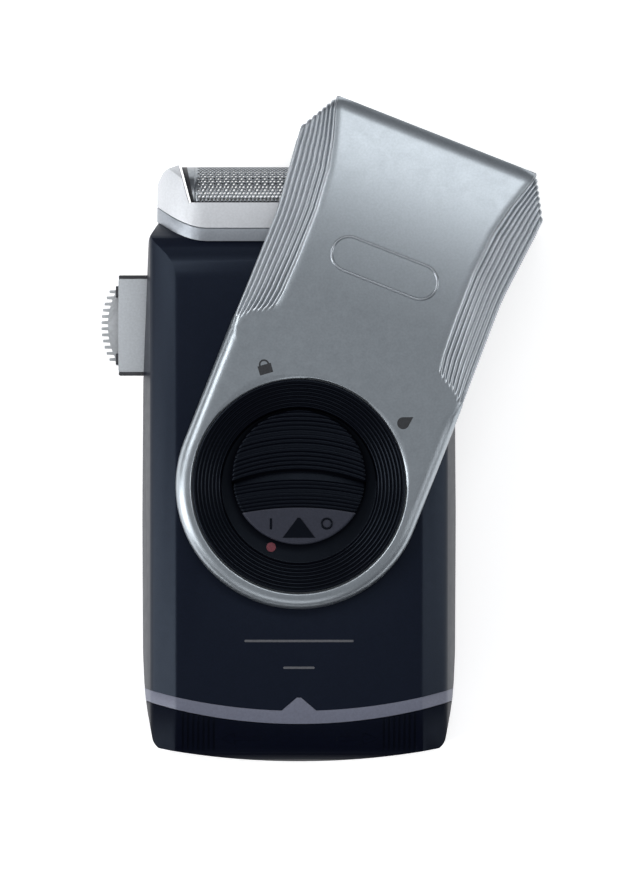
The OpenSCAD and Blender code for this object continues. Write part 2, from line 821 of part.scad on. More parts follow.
module trimmer_thumb_slide() {
    color([0.16, 0.17, 0.18]) difference() {
        union() {
            block([-25.6, 27.4, 0.35], [-18.6, 33.6, 0.96]);
            block([-23, 29.8, 0.5], [-21, 31.2, 9.7]);
        }
        for (x = [-24.9 : 1.1 : -19]) block([x, 28, 0], [x + 0.4, 33, 0.6]);
    }
}

module trimmer_blade() {
    y = rocker[1];
    x0 = rocker[0] - rocker_arm_out;
    color([0.66, 0.68, 0.70]) translate([0, 0, blade_z]) difference() {
        union() {
            toothed_sheet(0, 0.35);
            prism_z(0, sheet_t) translate([-33.2, y - 1.75]) square([33.2 + x0 + 1.7, 3.5]);
        }
        block([x0 - trimmer_out - 0.95, y - drive_slot_r, -1], [x0 + 0.95, y + drive_slot_r, 1]);
    }
}

// ---- Battery cap ----

// The tongues that keep the cap on its carrier while it slides sideways, grown by g
module cap_tongues(g, half) {
    difference() {
        intersection() {
            above_arc(band_low, 1.6 + g);
            block([-half, -50, -5], [half, -40, 40]);
        }
        above_arc(band_low, 0.8 - g);
        block([-40, -60, 3.5 + g], [40, -30, body_d - 3.5 - g]);
    }
}

module battery_cap() {
    color([0.06, 0.06, 0.09]) difference() {
        intersection() {
            body_solid(0);
            above_arc(bottom_arc);
            block([-40, -60, -5], [40, -30, 40]);
        }
        above_arc(band_low, seam_gap);
        difference() {
            intersection() {
                body_solid(wall);
                above_arc(bottom_arc, -wall);
            }
            cap_tongues(0, 18);
        }
        for (s = [-1, 1], i = [0 : 6]) let (x = s * (16.2 + 0.98 * i))
            block([x - 0.22, -60, body_d - 0.3], [x + 0.22, -40, 40]);
    }
}

module cap_insert() {
    color([0.20, 0.21, 0.23]) difference() {
        union() {
            intersection() {
                body_solid(wall + 0.45);
                above_arc(band_low);
                block([-40, -50, -5], [40, insert_top, 40]);
            }
            intersection() {
                body_solid(wall + 1);
                block([-21.5, insert_low, -5], [21.5, -42, 40]);
            }
        }
        intersection() {
            body_solid(wall + 2.6);
            block([-20, insert_low + 1.2, -5], [20, -30, 40]);
        }
        intersection() {
            body_solid(wall + 1.7);
            block([-40, -43.3, -5], [40, -30, 40]);
        }
        difference() {
            block([-40, seal_y - 0.65, -5], [40, seal_y + 0.65, 40]);
            body_solid(wall + 0.8);
        }
        cap_tongues(0.1, 22);
    }
}

module cap_seal() {
    color([0.15, 0.15, 0.15]) intersection() {
        difference() {
            body_solid(wall + 0.25);
            body_solid(wall + 0.75);
        }
        block([-40, seal_y - 0.6, -5], [40, seal_y + 0.6, 40]);
    }
}

module cap_contact() {
    color([0.80, 0.78, 0.70]) block([-11, insert_low + 1.22, cell_z - 4], [11, insert_low + 1.5, cell_z + 4]);
}

module cell_springs() {
    color([0.80, 0.80, 0.82]) for (s = [-1, 1])
        coil_y(s * cell_x, cell_z, insert_low + 1.52, cell_low - 0.05, 3, 0.35, 3);
}

front_casing();
rear_casing();
rear_pads();
casing_gasket();
casing_screws();
accent_band();
chassis();
left_cell();
right_cell();
upper_contacts();
hub_ring();
hub_screws();
hub_gasket();
friction_washer();
switch_dot();
motor_can();
motor_end_cap();
motor_terminals();
motor_magnets();
head_deck();
collar();
drive_boot();
bridge_flexures();
switch_leaf_contacts();
rocker_pin();
motor_shaft();
armature();
commutator();
eccentric();
drive_bridge();
drive_pin();
cutter_spring();
cutter_carrier();
cutter_blades();
shaving_foil();
foil_cartridge();
foil_frame();
twist_cap();
switch_knob();
switch_slider();
switch_contact();
dust_plate();
trimmer_carriage();
trimmer_cover();
trimmer_comb();
trimmer_brackets();
trimmer_thumb_slide();
trimmer_blade();
rocker_lever();
battery_cap();
cap_insert();
cap_seal();
cell_springs();
cap_contact();
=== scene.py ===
"""Looks of a pocket foil shaver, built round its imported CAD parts.

Lengths are in millimetres, except for the floor, lights and camera, which are in metres.
"""

import json
import math

import bmesh
import bpy
import numpy as np
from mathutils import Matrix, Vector


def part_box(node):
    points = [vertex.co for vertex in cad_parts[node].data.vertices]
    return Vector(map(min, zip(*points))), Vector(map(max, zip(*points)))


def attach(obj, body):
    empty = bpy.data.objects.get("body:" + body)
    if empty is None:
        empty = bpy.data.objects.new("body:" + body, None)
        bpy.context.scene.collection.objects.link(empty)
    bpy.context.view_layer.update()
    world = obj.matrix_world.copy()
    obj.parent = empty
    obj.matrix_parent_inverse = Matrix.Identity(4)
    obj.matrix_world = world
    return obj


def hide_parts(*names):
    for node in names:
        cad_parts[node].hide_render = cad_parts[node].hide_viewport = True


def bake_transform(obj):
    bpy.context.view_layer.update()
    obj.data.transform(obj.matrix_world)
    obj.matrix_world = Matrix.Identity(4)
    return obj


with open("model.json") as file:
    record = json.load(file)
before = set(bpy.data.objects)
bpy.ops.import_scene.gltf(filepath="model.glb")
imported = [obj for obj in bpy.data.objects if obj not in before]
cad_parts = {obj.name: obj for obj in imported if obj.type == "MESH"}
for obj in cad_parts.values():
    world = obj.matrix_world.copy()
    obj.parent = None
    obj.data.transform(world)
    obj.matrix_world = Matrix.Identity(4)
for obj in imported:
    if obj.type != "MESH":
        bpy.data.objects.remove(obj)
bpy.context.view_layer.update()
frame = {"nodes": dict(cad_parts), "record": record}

MM = 1000.0


# ---- Places read from the frame ----


def node_box(name):
    """A CAD node's lowest and highest corners in millimetres."""
    low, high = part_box(name)
    return np.array(low) * MM, np.array(high) * MM


def joint_range(name):
    """A joint's range as the record gives it."""
    for joint in frame["record"]["behaviour"]["joints"]:
        if joint["name"] == name:
            return joint.get("range_deg") or joint.get("range_m")
    return None


PANEL_Z = node_box("front_casing")[1][2]
HUB_LOW, HUB_HIGH = node_box("hub_ring")
HUB_R = HUB_HIGH[0]
KNOB_LOW, KNOB_HIGH = node_box("switch_knob")
KNOB_R = KNOB_HIGH[0]
KNOB_Y = (KNOB_LOW[1] + KNOB_HIGH[1]) / 2
CAP_FRONT = HUB_HIGH[2]
CAP_TURN = math.radians(joint_range("cap_twist")[1])
FOIL_LOW, FOIL_HIGH = node_box("shaving_foil")
HEAD_Z = (FOIL_LOW[2] + FOIL_HIGH[2]) / 2
FOIL_R = (FOIL_HIGH[2] - FOIL_LOW[2]) / 2
FOIL_AXIS_Y = FOIL_HIGH[1] - FOIL_R
BRIDGE_FOOT = node_box("drive_bridge")[0][1]


# ---- Materials ----

BLUE_GLOSS = (0.62, 0.78, 1.0)


class Look:
    """A procedural material: two tones mixed by a fine grain, uneven gloss and a faint relief."""

    def __init__(self, name, colour, rough, metal=0.0, grain=0.12, relief=0.15, scale=1500.0):
        self.material = bpy.data.materials.new(name)
        self.material.use_nodes = True
        self.nodes = self.material.node_tree.nodes
        self.links = self.material.node_tree.links
        self.shader = self.nodes["Principled BSDF"]
        self.shader.inputs["Metallic"].default_value = metal
        self.place = self.nodes.new("ShaderNodeTexCoord")
        dark = [c * (1 - grain) for c in colour] + [1.0]
        light = [min(1.0, c * (1 + grain)) for c in colour] + [1.0]
        self.tint = self.ramp(self.noise(scale, 3.0), [(0.35, dark), (0.65, light)])
        self.links.new(self.tint, self.shader.inputs["Base Color"])
        spread = self.nodes.new("ShaderNodeMapRange")
        spread.inputs["To Min"].default_value = rough * 0.88
        spread.inputs["To Max"].default_value = min(1.0, rough * 1.12)
        self.links.new(self.noise(scale * 0.21, 2.0), spread.inputs["Value"])
        self.links.new(spread.outputs["Result"], self.shader.inputs["Roughness"])
        self.bump(self.noise(scale * 1.6, 2.0), relief, 0.02)

    def noise(self, scale, detail):
        """A noise fixed to the piece."""
        node = self.nodes.new("ShaderNodeTexNoise")
        node.inputs["Scale"].default_value = scale
        node.inputs["Detail"].default_value = detail
        self.links.new(self.place.outputs["Object"], node.inputs["Vector"])
        return node.outputs["Fac"]

    def ramp(self, value, stops):
        """Colours picked by a value between the first and the last stop."""
        node = self.nodes.new("ShaderNodeValToRGB")
        bands = node.color_ramp.elements
        bands[0].position, bands[0].color = stops[0]
        bands[1].position, bands[1].color = stops[-1]
        self.links.new(value, node.inputs["Fac"])
        return node.outputs["Color"]

    def bump(self, value, strength, distance):
        """A relief of this height in millimetres."""
        node = self.nodes.new("ShaderNodeBump")
        node.inputs["Strength"].default_value = strength
        node.inputs["Distance"].default_value = distance / MM
        self.links.new(value, node.inputs["Height"])
        self.links.new(node.outputs["Normal"], self.shader.inputs["Normal"])

    def specular(self, level, tint=(1.0, 1.0, 1.0)):
        """How strong the plain reflections are, and their tint."""
        self.shader.inputs["Specular IOR Level"].default_value = level
        self.shader.inputs["Specular Tint"].default_value = (*tint, 1.0)
        return self

    def coat(self, weight, rough):
        """A clear layer on top."""
        self.shader.inputs["Coat Weight"].default_value = weight
        self.shader.inputs["Coat Roughness"].default_value = rough
        return self



def coated_silver(name, colour, rough, metal):
    """Silver paint under a thin clear coat."""
    return Look(name, colour, rough, metal, 0.05, 0.10, 2600.0).coat(0.1, 0.2).material


def blue_black(name, colour, rough, level, grain=0.2, relief=0.10, scale=2600.0):
    """A dark plastic whose reflections look slightly blue."""
    return Look(name, colour, rough, 0.0, grain, relief, scale).specular(level, BLUE_GLOSS).material


SILVER = coated_silver("silver_paint", (0.38, 0.42, 0.455), 0.34, 0.9)
# The same silver paint again, a little darker, for the ribbed flanks and the badge: painted shade, not a
# second finish.
SILVER_RIBS_PAINTED_SHADE = coated_silver("silver_ribs_painted_shade", (0.36, 0.39, 0.42), 0.33, 0.88)
SILVER_HEAD = Look("silver_head", (0.60, 0.62, 0.65), 0.46, 0.25, 0.04, 0.08, 2400.0).material
SILVER_COLLAR = Look("silver_collar", (0.31, 0.335, 0.37), 0.42, 0.80, 0.05, 0.08, 2400.0).material
PANEL = blue_black("panel_blue_black", (0.0026, 0.0038, 0.0105), 0.38, 0.28, 0.18, 0.10, 3200.0)
REAR = blue_black("rear_blue_black", (0.004, 0.005, 0.011), 0.55, 0.3, 0.25, 0.45, 2200.0)
BAND = Look("band_lavender", (0.145, 0.155, 0.205), 0.42, 0.1, 0.06, 0.10, 2400.0).specular(0.35).material
CAP_BLACK = blue_black("battery_cap_black", (0.0008, 0.0011, 0.0052), 0.36, 0.1)
HUB_BLACK = blue_black("hub_black", (0.0012, 0.0013, 0.0032), 0.34, 0.2, relief=0.06)
KNOB_BLACK = blue_black("knob_black", (0.0009, 0.0010, 0.0028), 0.36, 0.17, relief=0.08)
LABEL = Look("knob_label", (0.027, 0.030, 0.045), 0.42, 0.0, 0.1, 0.08, 2600.0).specular(0.3).material
RED = Look("red_dot", (0.16, 0.030, 0.045), 0.28, 0.0, 0.15, 0.05, 3000.0).coat(0.6, 0.1).material
PRINT = Look("grey_print", (0.085, 0.088, 0.10), 0.55, 0.0, 0.15, 0.05, 3000.0).material
DARK_PRINT = Look("dark_print", (0.02, 0.022, 0.026), 0.55, 0.0, 0.2, 0.05, 3000.0).material
COVER_SILVER = Look("trimmer_silver", (0.50, 0.53, 0.56), 0.42, 0.45, 0.05, 0.08, 2400.0).material
COMB_STEEL = Look("comb_steel", (0.50, 0.52, 0.54), 0.40, 0.60, 0.06, 0.10, 1800.0).material
FOIL_STEEL = Look("foil_steel", (0.27, 0.29, 0.31), 0.30, 1.0, 0.10, 0.10, 1500.0).material
STEEL = Look("bare_steel", (0.60, 0.60, 0.62), 0.26, 1.0, 0.08, 0.12, 900.0).material
SPRING_STEEL = Look("spring_steel", (0.68, 0.68, 0.70), 0.18, 1.0, 0.06, 0.06, 900.0).material
BRASS = Look("contact_brass", (0.72, 0.53, 0.26), 0.28, 1.0, 0.10, 0.10, 900.0).material
COPPER = Look("winding_copper", (0.62, 0.26, 0.12), 0.34, 1.0, 0.18, 0.5, 1200.0).material
MAGNET = Look("magnet_black", (0.045, 0.045, 0.05), 0.62, 0.2, 0.3, 0.5, 900.0).material
WHITE_PLASTIC = Look("natural_plastic", (0.74, 0.73, 0.69), 0.45, 0.0, 0.06, 0.15, 700.0).material
GREY_PLASTIC = Look("dark_grey_plastic", (0.035, 0.036, 0.042), 0.50, 0.0, 0.2, 0.3, 1400.0).material
BLUE_PLASTIC = Look("motor_blue", (0.06, 0.12, 0.32), 0.45, 0.0, 0.12, 0.2, 900.0).material
RUBBER = Look("black_rubber", (0.018, 0.018, 0.020), 0.72, 0.0, 0.25, 0.5, 1600.0).specular(0.3).material
CELL_WRAP = Look("cell_wrap", (0.55, 0.38, 0.10), 0.30, 0.7, 0.08, 0.10, 500.0).coat(0.4, 0.15).material


# ---- Outlines ----


HALVINGS = 40


def unit(v):
    """A direction of length one."""
    return v / np.linalg.norm(v)


def corner(a, b, c, radius, step=6.0, longest=2.0):
    """The points that round the corner b, between a and c."""
    if radius <= 0:
        return [b]
    u = unit(a - b)
    w = unit(c - b)
    half = math.acos(max(-1.0, min(1.0, float(u @ w)))) / 2
    mid = b + unit(u + w) * radius / math.sin(half)
    first = b + u * radius / math.tan(half) - mid
    last = b + w * radius / math.tan(half) - mid
    start = math.atan2(first[1], first[0])
    turn = (math.atan2(last[1], last[0]) - start + math.pi) % (2 * math.pi) - math.pi
    count = max(2, math.ceil(abs(turn) / math.radians(step)), math.ceil(abs(turn) * radius / longest))
    angles = start + turn * np.arange(count + 1) / count
    return [mid + radius * np.array([math.cos(t), math.sin(t)]) for t in angles]


def rounded(points, step=6.0):
    """A closed outline from points [x, y, radius]."""
    flat = [np.array(p[:2], float) for p in points]
    count = len(flat)
    outline = []
    for i in range(count):
        outline += corner(flat[i - 1], flat[i], flat[(i + 1) % count], points[i][2], step)
    return np.array(outline)


def both_sides(points):
    """A right-hand half outline with its mirror image."""
    return list(points) + [(-x, y, r) for x, y, r in reversed(points)]


def chain_distance(points, outline):
    """Distance of each point from a chain of line segments."""
    best = np.full(len(points), np.inf)
    for a, b in zip(outline[:-1], outline[1:]):
        line = b - a
        share = np.clip(((points - a) @ line) / (line @ line), 0, 1)
        best = np.minimum(best, np.linalg.norm(points - a - share[:, None] * line, axis=1))
    return best


def roll_drop(distance, radius, cut=1.0):
    """How far a rounded edge falls below the flat at this distance; cut under 1 leaves it crisp."""
    inside = np.clip(radius * cut - distance, 0, radius * cut)
    return radius - np.sqrt(radius * radius - inside * inside)


def smoothstep(x):
    """A smooth rise from 0 to 1."""
    x = np.clip(x, 0, 1)
    return x * x * (3 - 2 * x)


# ---- Meshes ----


def add_piece(name, points, faces, looks, body, stands_for=(), sharp=35.0, face_look=None):
    """A mesh piece that rides on a body and stands for CAD nodes."""
    looks = looks if isinstance(looks, list) else [looks]
    mesh = bpy.data.meshes.new(name)
    mesh.from_pydata((np.asarray(points) / MM).tolist(), [], [list(map(int, f)) for f in faces])
    for look in looks:
        mesh.materials.append(look)
    if face_look is not None:
        mesh.polygons.foreach_set("material_index", list(face_look))
    work = bmesh.new()
    work.from_mesh(mesh)
    bmesh.ops.remove_doubles(work, verts=work.verts, dist=2e-6)
    bmesh.ops.dissolve_degenerate(work, dist=1e-6, edges=work.edges)
    bmesh.ops.recalc_face_normals(work, faces=work.faces)
    work.to_mesh(mesh)
    work.free()
    mesh.polygons.foreach_set("use_smooth", [True] * len(mesh.polygons))
    mesh.set_sharp_from_angle(angle=math.radians(sharp))
    piece = bpy.data.objects.new(name, mesh)
    bpy.context.scene.collection.objects.link(piece)
    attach(piece, body)
    if stands_for:
        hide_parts(*stands_for)
    return piece


def add_tube(name, path, radius, look, body, closed=False):
    """A round wire along a path."""
    curve = bpy.data.curves.new(name, "CURVE")
    curve.dimensions = "3D"
    curve.bevel_depth = radius / MM
    curve.bevel_resolution = 3
    spline = curve.splines.new("POLY")
    spline.points.add(len(path) - 1)
    for point, place in zip(spline.points, path):
        point.co = (place[0] / MM, place[1] / MM, place[2] / MM, 1)
    spline.use_cyclic_u = closed
    curve.use_fill_caps = not closed
    curve.materials.append(look)
    piece = bpy.data.objects.new(name, curve)
    bpy.context.scene.collection.objects.link(piece)
    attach(piece, body)
    return piece


def grid_faces(rows, columns, closed=False, first=0):
    """Quads of a grid of points stored row by row."""
    faces = []
    for i in range(rows - 1):
        for j in range(columns if closed else columns - 1):
            k = (j + 1) % columns
            faces.append([first + i * columns + j, first + i * columns + k,
                          first + (i + 1) * columns + k, first + (i + 1) * columns + j])
    return faces


def lathe(profile, segments, centre=(0.0, 0.0)):
    """A closed section of (radius, height) turned about Z."""
    angles = 2 * math.pi * np.arange(segments) / segments
    x, y = centre
    points = [(x + r * math.cos(a), y + r * math.sin(a), h) for r, h in profile for a in angles]
    faces = grid_faces(len(profile), segments, closed=True)
    last = (len(profile) - 1) * segments
    faces += [[last + j, last + (j + 1) % segments, (j + 1) % segments, j] for j in range(segments)]
    return points, faces


def join_to(points, faces, more, quads):
    """Adds a second closed form to a mesh."""
    faces += [[v + len(points) for v in quad] for quad in quads]
    points += more


def slab(outline, low, high, edge=0.1):
    """A flat plate from an outline, with its upper edge rounded off."""
    outline = np.asarray(outline, float)
    centre = outline.mean(axis=0)
    count = len(outline)
    shrunk = outline + (centre - outline) * edge / np.linalg.norm(centre - outline, axis=1)[:, None]
    rings = [(outline, low), (outline, high - edge), (shrunk, high)]
    points = [(x, y, z) for ring, z in rings for x, y in ring]
    faces = grid_faces(3, count, closed=True)
    faces.append(list(range(count))[::-1])
    faces.append([2 * count + j for j in range(count)])
    return points, faces


def weld(outer, inner, faces, cells_per_mm=500):
    """Joins grid points that lie in the same place, so that patches share their edges."""
    found = {}
    index = np.empty(len(outer), int)
    for i, key in enumerate(map(tuple, np.round(outer * cells_per_mm).astype(int))):
        index[i] = found.setdefault(key, len(found))
    keep = np.unique(index, return_index=True)[1]
    kept_faces = []
    for face in faces:
        new = [index[i] for i in face]
        new = [v for n, v in enumerate(new) if v != new[n - 1]]
        if len(set(new)) > 2:
            kept_faces.append(new)
    return outer[keep], inner[keep], kept_faces


def close_shell(outer, inner, faces):
    """Joins an outer and an inner skin of the same layout along their free edges."""
    count = len(outer)
    used = {}
    for face in faces:
        for a, b in zip(face, face[1:] + face[:1]):
            used[(a, b)] = used.get((a, b), 0) + 1
    rims = [[b, a, a + count, b + count] for a, b in used if (b, a) not in used]
    inside = [[v + count for v in reversed(face)] for face in faces]
    return np.vstack([outer, inner]), faces + inside + rims


# ---- Twist cap ----

# The outline in plan, about the hub's axis with the cap's own axis along Y.
CAP_REACH = 72.0
CAP_CORNER = (25.0, 63.4)
CAP_WAIST = (23.3, 47.0)
CAP_TOP_HALF = 20.2
CAP_ROUND = 23.5
HUB_HOLE = HUB_R + 0.2

# The front: flat, then an arc, then a straight fall to the top edge, with two sloping flanks.
ARC_START = 34.85
ARC_END = 67.65
ARC_R = 138.0
TOP_FALL = 0.245
FLANK_FALL = 0.404
FLANK_WAY = (0.9686, 0.2487)
FLANK_AT = (19.5, 36.0)
FLANK_SOFT = 0.35

# Edges: how far they are rounded near the head, near the hub, along the top and in the hole.
EDGE_FINE = 0.7
EDGE_SOFT = 2.4
EDGE_CHANGE = (20.0, 8.0)
TOP_EDGE = 4.4
TOP_CUT = 0.6
HOLE_EDGE = 0.25

# Wall, and how far back the plain rim and the hood reach.
CAP_WALL = 1.6
CAP_BACK = 24.5
HOOD_BACK = 0.6
RIM_THICK = 0.3
HEAD_CLEAR = 66.1
SWEEP_R = 66.4
HOOD_SHARES = (0.12, 0.35, 0.6, 0.8, 1.0)
NECK_LEVELS = ((HUB_HOLE, 26.6, 20.5), (HUB_HOLE, 26.0, 19.5), (17.2, 26.0, 17.2))

# Ribs of the flanks.
RIBS = 8
RIB_DEPTH = 0.34
RIB_RISE = 0.12
RIB_POWER = 0.8
RIB_FADE = 1.4
RIB_FOOT = 25.2
RIB_FOOT_RISE = 4.6
RIB_LINE_Y = (22, 30, 33, 40, 50, 58, 64, 69.5, 72.5)
RIB_LINE_X = (19.0, 16.7, 16.2, 15.9, 15.8, 16.5, 17.9, 19.7, 20.1)
CORNER_INSET = 0.1
CORNER_SLOPE = 0.1
CORNER_START = CAP_CORNER[1] - 2

# How finely the grid is cut.
ROW_START = 24.0
GRID_ROWS = 84
GRID_TAIL = 0.065
MIDDLE_COLUMNS = 14
RIB_STEPS = 8
RING_ROWS = 7
RING_TAIL = 0.6
RIM_STEP = 1.2
FINE_STEPS = 9


def cap_side():
    """The cap's right-hand outline from its top corner down to its round end."""
    outline = rounded(both_sides([
        (CAP_TOP_HALF, CAP_REACH, 0.8), (*CAP_CORNER, 1.2), (*CAP_WAIST, 40), (CAP_ROUND, 20, 60),
        (CAP_ROUND, -CAP_ROUND, CAP_ROUND - 0.01)]), 3.0)
    right = outline[outline[:, 0] >= -1e-9]
    return right[np.argsort(-right[:, 1], kind="stable")]


CAP_SIDE = cap_side()


def cap_width(y):
    """Half width of the cap at each height, along its own axis."""
    order = CAP_SIDE[::-1]
    return np.interp(y, order[:, 1], order[:, 0])


def cap_surface(x, y):
    """Height of the cap's front before its edges are rounded."""
    arc = np.clip(y - ARC_START, 0, ARC_END - ARC_START)
    drop = ARC_R - np.sqrt(ARC_R * ARC_R - arc * arc)
    profile = CAP_FRONT - drop - TOP_FALL * np.clip(y - ARC_END, 0, None)
    out = FLANK_WAY[0] * (np.abs(x) - FLANK_AT[0]) + FLANK_WAY[1] * (y - FLANK_AT[1])
    flank = CAP_FRONT - FLANK_FALL * out
    share = np.clip(0.5 + (flank - profile) / (2 * FLANK_SOFT), 0, 1)
    return flank * (1 - share) + profile * share - FLANK_SOFT * share * (1 - share)


def rib_inner(y):
    """Where the ribbed flank starts, across the cap."""
    return np.interp(y, RIB_LINE_Y, RIB_LINE_X)


def rib_outer(y):
    """The flank's outer edge, carried on straight past the cut corner."""
    straight = CAP_CORNER[0] - CORNER_INSET + CORNER_SLOPE * (y - CAP_CORNER[1])
    return np.where(y > CORNER_START, straight, cap_width(y))


def column_x(place, y):
    """The x of a column; place runs 0..1 over the middle and 1..2 over the ribbed flank."""
    inner = rib_inner(y)
    return np.where(place <= 1, inner * place, inner + (rib_outer(y) - inner) * (place - 1))


def column_top(place):
    """How far up a column runs, to the top edge or to the cut corner."""
    if place <= 1:
        return CAP_REACH
    slope = (CAP_CORNER[0] - CAP_TOP_HALF) / (CAP_REACH - CAP_CORNER[1])
    low = CAP_CORNER[1]
    high = CAP_REACH
    for _ in range(HALVINGS):
        y = (low + high) / 2
        if column_x(place, y) > CAP_TOP_HALF + (CAP_REACH - y) * slope:
            high = y
        else:
            low = y
    return low


def eased(count, tail):
    """Steps from 0 to 1 that get finer towards 1."""
    even = np.linspace(0, 1 - tail, count)
    fine = 1 - tail + tail * np.sin(np.linspace(0, math.pi / 2, FINE_STEPS))
    return np.concatenate([even, fine[1:]])


def cap_grid():
    """The plan of the cap's front as points, rib places, quads and edge chain."""
    half = list(np.linspace(0, 1, MIDDLE_COLUMNS))
    half += [1 + k / (RIBS * RIB_STEPS) for k in range(1, RIBS * RIB_STEPS + 1)]
    places = [-p for p in reversed(half[1:])] + half
    steps = eased(GRID_ROWS, GRID_TAIL)
    tops = [column_top(abs(p)) for p in places]
    plan = []
    for t in steps:
        for p, top in zip(places, tops):
            y = ROW_START + (top - ROW_START) * t
            plan.append((math.copysign(float(column_x(abs(p), y)), p), y))
    columns = len(places)
    faces = grid_faces(len(steps), columns)
    upper = len(plan)

    lower_side = CAP_SIDE[CAP_SIDE[:, 1] < ROW_START]
    loop = plan[:columns][::-1]
    left = [(-x, y) for x, y in lower_side]
    right = [(x, y) for x, y in lower_side[::-1]]
    chain = []
    for a, b in zip([loop[-1]] + left + right[1:], left + right[1:] + [loop[0]]):
        pieces = max(1, round(math.dist(a, b) / RIM_STEP))
        chain += [(a[0] + (b[0] - a[0]) * i / pieces, a[1] + (b[1] - a[1]) * i / pieces)
                  for i in range(1, pieces + 1)]
    loop = loop + chain[:-1]
    ring_steps = eased(RING_ROWS, RING_TAIL)
    for t in ring_steps:
        for x, y in loop:
            r = math.hypot(x, y)
            start = HUB_HOLE / r
            share = start + (1 - start) * t
            plan.append((x * share, y * share))
    faces += [face[::-1] for face in grid_faces(len(ring_steps), len(loop), closed=True, first=upper)]
    return np.array(plan), faces


def cap_shell():
    """Outer and inner skins of the cap about its own axis."""
    plan, faces = cap_grid()
    folded = np.column_stack([np.abs(plan[:, 0]), plan[:, 1]])
    side = chain_distance(folded, CAP_SIDE[CAP_SIDE[:, 1] < CAP_REACH - 0.05])
    top = CAP_REACH - plan[:, 1]
    hole = np.hypot(plan[:, 0], plan[:, 1]) - HUB_HOLE
    crisp = smoothstep((plan[:, 1] - EDGE_CHANGE[0]) / EDGE_CHANGE[1])
    softness = EDGE_FINE + (EDGE_SOFT - EDGE_FINE) * (1 - crisp)
    height = cap_surface(plan[:, 0], plan[:, 1]) - roll_drop(side, softness)
    height = height - roll_drop(top, TOP_EDGE, TOP_CUT) - roll_drop(hole, HOLE_EDGE)
    outer = np.column_stack([plan, height])

    inward = np.clip(CAP_WALL - np.minimum(side, top), 0, None)
    middle = np.column_stack([plan[:, 0] * 0.55, np.clip(plan[:, 1], 0, CAP_REACH - 14)])
    toward = middle - plan
    pull = toward / np.maximum(np.linalg.norm(toward, axis=1), 1e-6)[:, None] * inward[:, None]
    inner_plan = plan + pull
    depth = cap_surface(inner_plan[:, 0], inner_plan[:, 1]) - CAP_WALL
    depth = np.where(hole < CAP_WALL, CAP_BACK, depth)
    inner = np.column_stack([inner_plan, depth])
    return weld(outer, inner, faces)


def rims_of(points, faces):
    """The free edges of a patch as closed loops of point numbers."""
    used = set()
    for face in faces:
        for a, b in zip(face, face[1:] + face[:1]):
            used.add((a, b))
    onward = {a: b for a, b in used if (b, a) not in used}
    loops = []
    while onward:
        start = next(iter(onward))
        loop = [start]
        while True:
            step = onward.pop(loop[-1])
            if step == start:
                break
            loop.append(step)
        loops.append(loop)
    return loops


def turn_z(points, angle):
    """Points turned about the Z axis."""
    c = math.cos(angle)
    s = math.sin(angle)
    x, y, z = np.asarray(points, float).T
    return np.column_stack([x * c - y * s, x * s + y * c, z])


def add_ribs(outer, faces):
    """Presses the fan of ribs into both flanks, along the surface's own normals."""
    mesh = bpy.data.meshes.new("cap_normals")
    mesh.from_pydata(outer.tolist(), [], faces)
    normals = np.array([v.vector for v in mesh.vertex_normals])
    bpy.data.meshes.remove(mesh)
    if normals[np.argmax(outer[:, 2]), 2] < 0:
        normals = -normals
    x = np.abs(outer[:, 0])
    y = outer[:, 1]
    inner = rib_inner(y)
    place = (x - inner) / (rib_outer(y) - inner)
    wave = np.abs(np.sin(math.pi * RIBS * np.clip(place, 0, 1))) ** RIB_POWER
    fade = smoothstep((y - rib_foot(place)) / RIB_FADE)
    inside = (place > 0) & (place < 1.05)
    depth = np.where(inside, (RIB_DEPTH * (1 - wave) - RIB_RISE) * fade, 0)
    return outer - normals * depth[:, None]


def rib_foot(place):
    """Where each rib ends near the hub; the outer ribs reach furthest down."""
    return RIB_FOOT + RIB_FOOT_RISE * (1 - np.ceil(np.clip(place, 0.01, 1) * RIBS) / RIBS)


def rib_shade_faces(points, faces):
    """Marks the faces of the ribbed flanks with 1, for the darker silver that paints shade into the ribs, and
    all others with 0.
    """
    middles = np.array([points[list(face)].mean(axis=0) for face in faces])
    x = np.abs(middles[:, 0])
    y = middles[:, 1]
    place = (x - rib_inner(y)) / (rib_outer(y) - rib_inner(y))
    return ((place > 0) & (y > rib_foot(place) + 0.3)).astype(int)


def neck_rows(ring):
    """The wall round the hub's hole, as pairs of outer and inner rings."""
    way = ring[:, :2] / np.hypot(ring[:, 0], ring[:, 1])[:, None]
    for r, z, inner_r in NECK_LEVELS:
        outer = np.column_stack([way * r, np.full(len(ring), z)])
        yield outer, np.column_stack([way * inner_r, np.full(len(ring), CAP_BACK)])


def rim_rows(ring, inner_ring):
    """The wall below the cap's outer edge, deep where it forms the hood over the head."""
    hood = np.hypot(ring[:, 0], ring[:, 1]) > SWEEP_R
    back = np.where(hood, HOOD_BACK, np.minimum(CAP_BACK, ring[:, 2] - RIM_THICK))
    push = np.maximum(1.0, HEAD_CLEAR / np.hypot(inner_ring[:, 0], inner_ring[:, 1]))
    inner_plan = inner_ring[:, :2] * np.where(hood, push, 1.0)[:, None]
    for share in HOOD_SHARES:
        z = ring[:, 2] + (back - ring[:, 2]) * share
        outer = np.column_stack([ring[:, :2], z])
        yield outer, np.column_stack([inner_plan, np.minimum(z, inner_ring[:, 2])])


